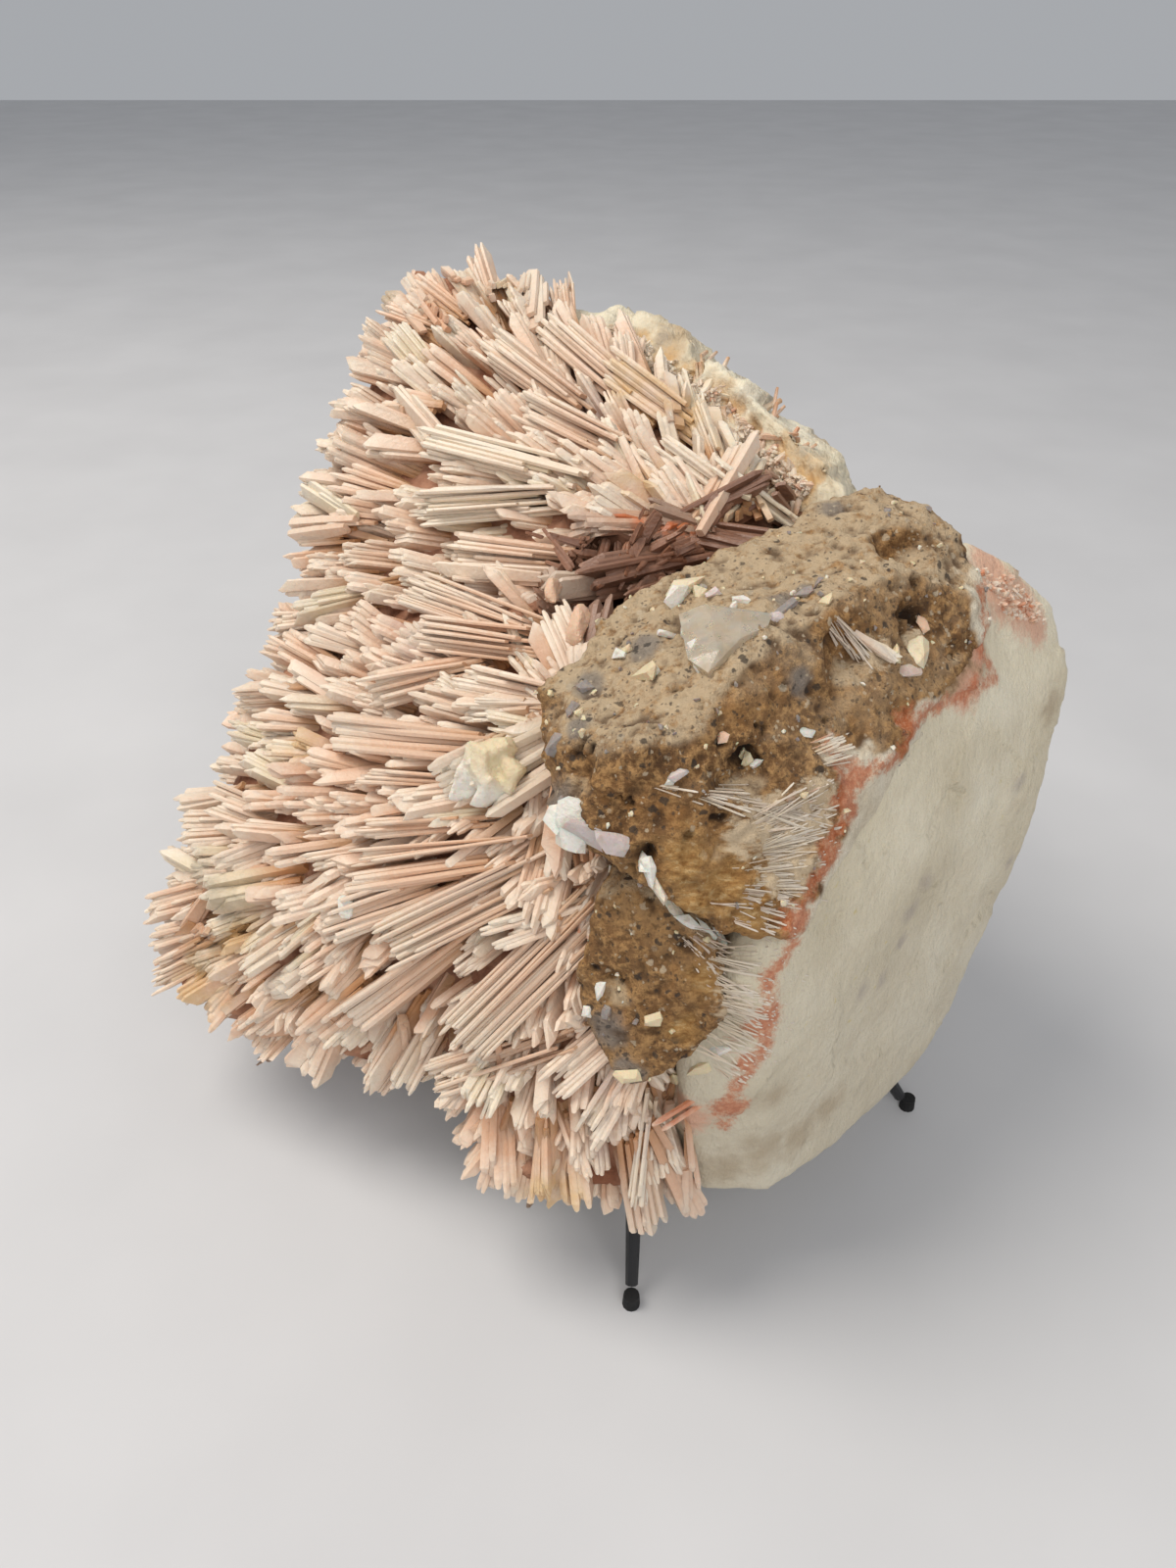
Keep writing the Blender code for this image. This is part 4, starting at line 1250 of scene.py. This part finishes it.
# Ledges and plate edges of the rock, each row like a chip's. The lilac rows are the shaded undersides of
# the white ledge: painted shade.
LEDGES = (
    (584, 842, 75, 8.0, 5.0, 1.8, WHITE), (572, 832, 60, 5.0, 4.0, 1.6, WHITE),
    # Lilac here is painted shade on the ledge's underside.
    (608, 852, -15, 9.5, 4.6, 1.4, LILAC), (632, 862, -18, 8.0, 3.2, 1.2, LILAC),
    (600, 870, -10, 7.0, 2.6, 1.2, LILAC), (659, 880, -80, 5.0, 1.9, 1.5, WHITE),
    (664, 892, -70, 5.0, 1.8, 1.4, WHITE), (671, 906, -60, 5.0, 1.7, 1.4, 0.1),
    (680, 919, -50, 5.0, 1.6, 1.3, 0.1), (691, 931, -42, 5.0, 1.5, 1.3, 0.1),
    (703, 941, -36, 5.0, 1.5, 1.2, WHITE), (717, 949, -28, 5.0, 1.4, 1.2, WHITE),
    (732, 956, -20, 5.0, 1.4, 1.1, WHITE), (704, 603, 35, 6.5, 4.2, 3.2, 0.2),
    (690, 612, 55, 4.6, 3.4, 2.6, WHITE), (717, 607, -30, 3.6, 2.4, 2.2, 0.2),
    (936, 664, 75, 6.0, 3.4, 1.6, 0.2), (926, 684, 20, 4.4, 2.6, 1.2, 0.6),
)

# The cream lump left of the rock and its neighbours, on the surface of the crystals.
LUMPS = (
    (495, 785, 80, 9.0, 6.5, 5.0, YELLOW), (478, 795, 85, 7.0, 5.0, 4.5, WHITE),
    (508, 765, 20, 6.5, 4.6, 4.0, YELLOW), (500, 808, 10, 6.5, 4.4, 4.0, WHITE),
    (520, 790, 60, 5.5, 4.2, 3.5, YELLOW), (357, 925, 70, 4.4, 3.4, 2.6, WHITE),
    (570, 600, 70, 7.0, 3.2, 3.0, PEACH), (592, 640, 75, 7.5, 3.6, 3.0, PEACH),
)

# The clear crystal on top of the rock: its outline in the picture, its height at each corner, and
# how far it goes into the rock.
WEDGE = [
    (703, 637), (722, 631), (755, 628), (787, 627), (783, 640), (758, 656), (736, 672), (724, 692),
    (712, 683),
]
WEDGE_HEIGHTS = (2.6, 2.3, 1.3, 0.3, 0.3, 1.1, 1.5, 1.0, 2.0)
WEDGE_ROOT = 0.8

# Needles that lie on rock and mordenite: from, to, how many, spread in the picture at both ends,
# half width, hue, rust. No needle is longer than the longest.
NEEDLES = (
    ((665, 800), (765, 818), 34, (4, 8), (0.08, 0.18), 0.9, 0.0),
    ((735, 812), (845, 838), 34, (6, 10), (0.06, 0.13), 0.9, 0.0),
    ((755, 868), (850, 835), 60, (26, 34), (0.06, 0.12), 0.95, 0.0),
    ((745, 890), (838, 885), 60, (24, 34), (0.06, 0.12), 0.95, 0.1),
    ((730, 915), (812, 935), 44, (22, 26), (0.07, 0.14), 0.8, 0.1),
    ((770, 842), (850, 805), 34, (12, 20), (0.07, 0.15), 0.9, 0.3),
    ((838, 618), (888, 680), 34, (9, 9), (0.07, 0.14), 0.8, 0.0),
    ((725, 985), (815, 1012), 80, (22, 40), (0.07, 0.17), 0.95, 0.0),
    ((720, 1030), (800, 1058), 80, (28, 40), (0.07, 0.17), 0.95, 0.1),
    ((712, 1065), (775, 1090), 44, (16, 24), (0.07, 0.17), 0.9, 0.25),
    ((868, 641), (925, 687), 3, (2, 1), (0.7, 0.9), 0.95, 0.0),
    ((700, 955), (745, 990), 40, (12, 20), (0.07, 0.15), 0.8, 0.0),
    ((826, 772), (868, 758), 24, (14, 14), (0.09, 0.21), 0.95, 0.3),
)
LONGEST_NEEDLE = 22


def add_lump(bm, layer, rng, spot, out, run, size, colour):
    """Adds a convex piece with flat faces, sunk a little into the surface that it lies on."""
    run = unit(run - out * (run @ out))
    side = np.cross(out, run)
    verts = []
    for _ in range(LUMP_POINTS):
        ball = unit(jitter(rng, 1))
        ball = ball / max(abs(ball)) * rng.uniform(0.82, 1.0)
        point = spot + (run * ball[0] * size[0] + side * ball[1] * size[1]) / 2
        point = point + out * size[2] * (0.15 + 0.55 * ball[2])
        vert = bm.verts.new(point * MM)
        vert[layer] = clamp(colour + rng.gauss(0, 0.02))
        verts.append(vert)
    close_hull(bm, verts)


def lumps(name, surface, rows, trees, seed):
    """Convex pieces at places in the picture, in one object."""
    rng = random.Random(seed)
    right, up, _ = camera_axes()
    bm = bmesh.new()
    layer = bm.verts.layers.float.new("colour")
    for across, down, turn, long, wide, high, colour in rows:
        face = seen_face(across, down, trees)
        if face is None:
            continue
        angle = math.radians(turn)
        run = right * math.cos(angle) + up * math.sin(angle)
        add_lump(bm, layer, rng, *face, run, (long, wide, high), colour)
    return flat_object(bm, name, surface)


def grown_mass(name, surface, rows, trees, seed):
    """Lumps grown together into one rough mass, coloured like the lump that is nearest."""
    obj = lumps(name, surface, rows, trees, seed)
    dense(obj, LUMP_VOXEL, 2)
    co, out = points_and_normals(obj)
    place(obj, co + out * (0.22 * waves(co, 2.6, 2, seed) + 0.07 * waves(co, 0.9, 2, seed + 5))[:, None])
    centres = [(seen(row[0], row[1], trees), row[-1]) for row in rows]
    centres = [(spot, colour) for spot, colour in centres if spot is not None]
    spots = np.array([spot for spot, _ in centres])
    far = np.linalg.norm(co[:, None] - spots[None], axis=2)
    weight = 1 / (far + 0.3) ** 4
    colours = np.array([colour for _, colour in centres])
    attribute(obj, "colour", (weight @ colours) / weight.sum(axis=1))
    return obj


def grains(name, surface, obj, count, seed):
    """Small loose-looking grains set into the rock."""
    rng = random.Random(seed)
    co, out = points_and_normals(obj)
    bm = bmesh.new()
    layer = bm.verts.layers.float.new("colour")
    for _ in range(count):
        i = rng.randrange(len(co))
        long = rng.uniform(0.4, 1.1)
        size = (long, long * rng.uniform(0.5, 0.9), long * rng.uniform(0.5, 0.9))
        run = jitter(rng, 1)
        colour = rng.choice(GRAIN_COLOURS)
        add_lump(bm, layer, rng, co[i], out[i], run, size, colour)
    return flat_object(bm, name, surface)


def wedge(name, surface, trees):
    """The clear crystal with a broken end on top of the rock."""
    bm = bmesh.new()
    for (across, down), high in zip(WEDGE, WEDGE_HEIGHTS):
        spot, out = seen_face(across, down, trees)
        bm.verts.new((spot - out * WEDGE_ROOT) * MM)
        bm.verts.new((spot + out * high) * MM)
    close_hull(bm, bm.verts)
    bmesh.ops.recalc_face_normals(bm, faces=bm.faces)
    return flat_object(bm, name, surface)


def needles(laths, rng, trees):
    right, up, _ = camera_axes()
    for start, end, count, spreads, halves, hue, rust in NEEDLES:
        along = unit(np.subtract(end, start))
        across = np.array((-along[1], along[0]))
        whole = np.linalg.norm(np.subtract(end, start))
        for _ in range(count):
            shift = rng.uniform(-1, 1)
            begin = rng.uniform(-0.05, 0.45)
            finish = min(1.05, begin + rng.uniform(0.35, 0.75))
            lean = across * rng.gauss(0, 0.05) * whole
            first = np.array(start) + along * whole * begin + across * shift * spreads[0]
            last = np.array(start) + along * whole * finish + across * shift * spreads[1] + lean
            low, high = seen_face(*first, trees), seen_face(*last, trees)
            if low is None or high is None:
                continue
            half = rng.uniform(*halves)
            root, tip = low[0] - low[1] * 0.1, high[0] + high[1] * half * 0.6
            length = np.linalg.norm(tip - root)
            if length > LONGEST_NEEDLE:
                continue
            axis = unit(tip - root)
            side = unit(np.cross(axis, high[1]))
            laths.add(tip, axis, side, length, half, half * 0.5, half * 3, rng.uniform(-0.8, 0.8), 0.0, 0.5,
                      clamp(hue + rng.gauss(0, 0.06)), 0.0, max(0, rust + rng.gauss(0, 0.15)), 0.6)


# Stage

# Lamps: place and size in metres, power in watts, colour. The point that they face and half the
# floor's width are in metres too.
LAMPS = {
    "key": ((-0.50, 0.02, 1.0), 0.65, 8.9, (1.0, 0.95, 0.88)),
    "fill": ((0.15, -0.73, 0.62), 0.7, 3.2, (1.0, 0.97, 0.94)),
}
LIT_POINT = (0, 0, 0.06)
SKY_COLOUR = (0.92, 0.95, 1.0, 1)
SKY_STRENGTH = 0.42
FLOOR_HALF = 2


def camera():
    data = bpy.data.cameras.new("camera")
    data.lens = CAMERA_LENS
    data.sensor_width = CAMERA_SENSOR
    data.clip_start = 0.01
    obj = bpy.data.objects.new("camera", data)
    obj.location = Vector(CAMERA_PLACE) * MM
    obj.rotation_euler = (math.pi / 2 - CAMERA_PITCH, 0, 0)
    bpy.context.scene.collection.objects.link(obj)
    bpy.context.scene.camera = obj


def area_light(name, spot, size, watts, colour):
    data = bpy.data.lights.new(name, "AREA")
    data.shape = "DISK"
    data.size = size
    data.energy = watts
    data.color = colour
    obj = bpy.data.objects.new(name, data)
    obj.location = spot
    obj.rotation_euler = (Vector(LIT_POINT) - Vector(spot)).to_track_quat("-Z", "Y").to_euler()
    bpy.context.scene.collection.objects.link(obj)


def studio():
    bm = bmesh.new()
    bmesh.ops.create_grid(bm, x_segments=1, y_segments=1, size=FLOOR_HALF)
    new_object("floor", mesh_of(bm, "floor"), floor_material())
    world = bpy.data.worlds.new("world")
    world.use_nodes = True
    sky = world.node_tree.nodes["Background"]
    sky.inputs[0].default_value = SKY_COLOUR
    sky.inputs[1].default_value = SKY_STRENGTH
    bpy.context.scene.world = world
    for name, lamp in LAMPS.items():
        area_light(name, *lamp)
    bpy.context.scene.view_settings.view_transform = "Standard"


# The whole


def finish_piece(obj, slot, *nodes):
    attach(obj, BODY)
    if nodes:
        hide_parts(*nodes)


def main():
    camera()
    studio()
    rock_obj, rock_tree = rock(rock_material())
    white_obj, white_tree = mordenite(mordenite_material())
    trees = [rock_tree, white_tree]
    rim = seen_line(RIM_LINE, trees)
    stains(rock_obj, trees, rim)
    stains(white_obj, trees, rim)
    finish_piece(rock_obj, "host_rock", "matrix_rock")
    finish_piece(white_obj, "mordenite", "mordenite_mass")
    lobes = hull_trees()
    base = core(core_material(), lobes)
    finish_piece(base, "stilbite", "stilbite_cluster")
    surface = crystal_material()
    for obj in split_laths(crystals(trees, lobes, tree_of(base)), surface):
        crystal_stains(obj)
        finish_piece(obj, "stilbite", "stilbite_cluster")
    fibres = Laths()
    needles(fibres, random.Random(NEEDLE_SEED), trees)
    fibre_obj = fibres.mesh("needles", surface, fibres.rows)
    crystal_stains(fibre_obj)
    finish_piece(fibre_obj, "stilbite")
    chip = chip_material()
    finish_piece(lumps("rock_chips", chip, CHIPS, trees, CHIP_SEED), "stilbite")
    finish_piece(lumps("rock_ledges", chip, LEDGES, trees, LEDGE_SEED), "stilbite")
    finish_piece(grown_mass("cream_lumps", chip, LUMPS, lobes, LUMP_SEED), "stilbite")
    finish_piece(grains("rock_grains", chip, rock_obj, GRAIN_COUNT, GRAIN_SEED), "host_rock")
    finish_piece(wedge("wedge_crystal", wedge_material(), trees), "stilbite")
    paint, rubber = stand_material(), rubber_material()
    for name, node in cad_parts.items():
        if name.startswith("stand_"):
            node.material_slots[0].material = paint
        elif name.startswith("foot_cap"):
            node.material_slots[0].material = rubber


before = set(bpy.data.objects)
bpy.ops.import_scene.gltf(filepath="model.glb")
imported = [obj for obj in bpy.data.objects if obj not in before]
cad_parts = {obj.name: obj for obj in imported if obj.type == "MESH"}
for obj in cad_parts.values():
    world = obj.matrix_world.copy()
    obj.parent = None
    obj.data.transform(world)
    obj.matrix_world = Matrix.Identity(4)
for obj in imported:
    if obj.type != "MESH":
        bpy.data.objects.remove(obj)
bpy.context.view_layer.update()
main()
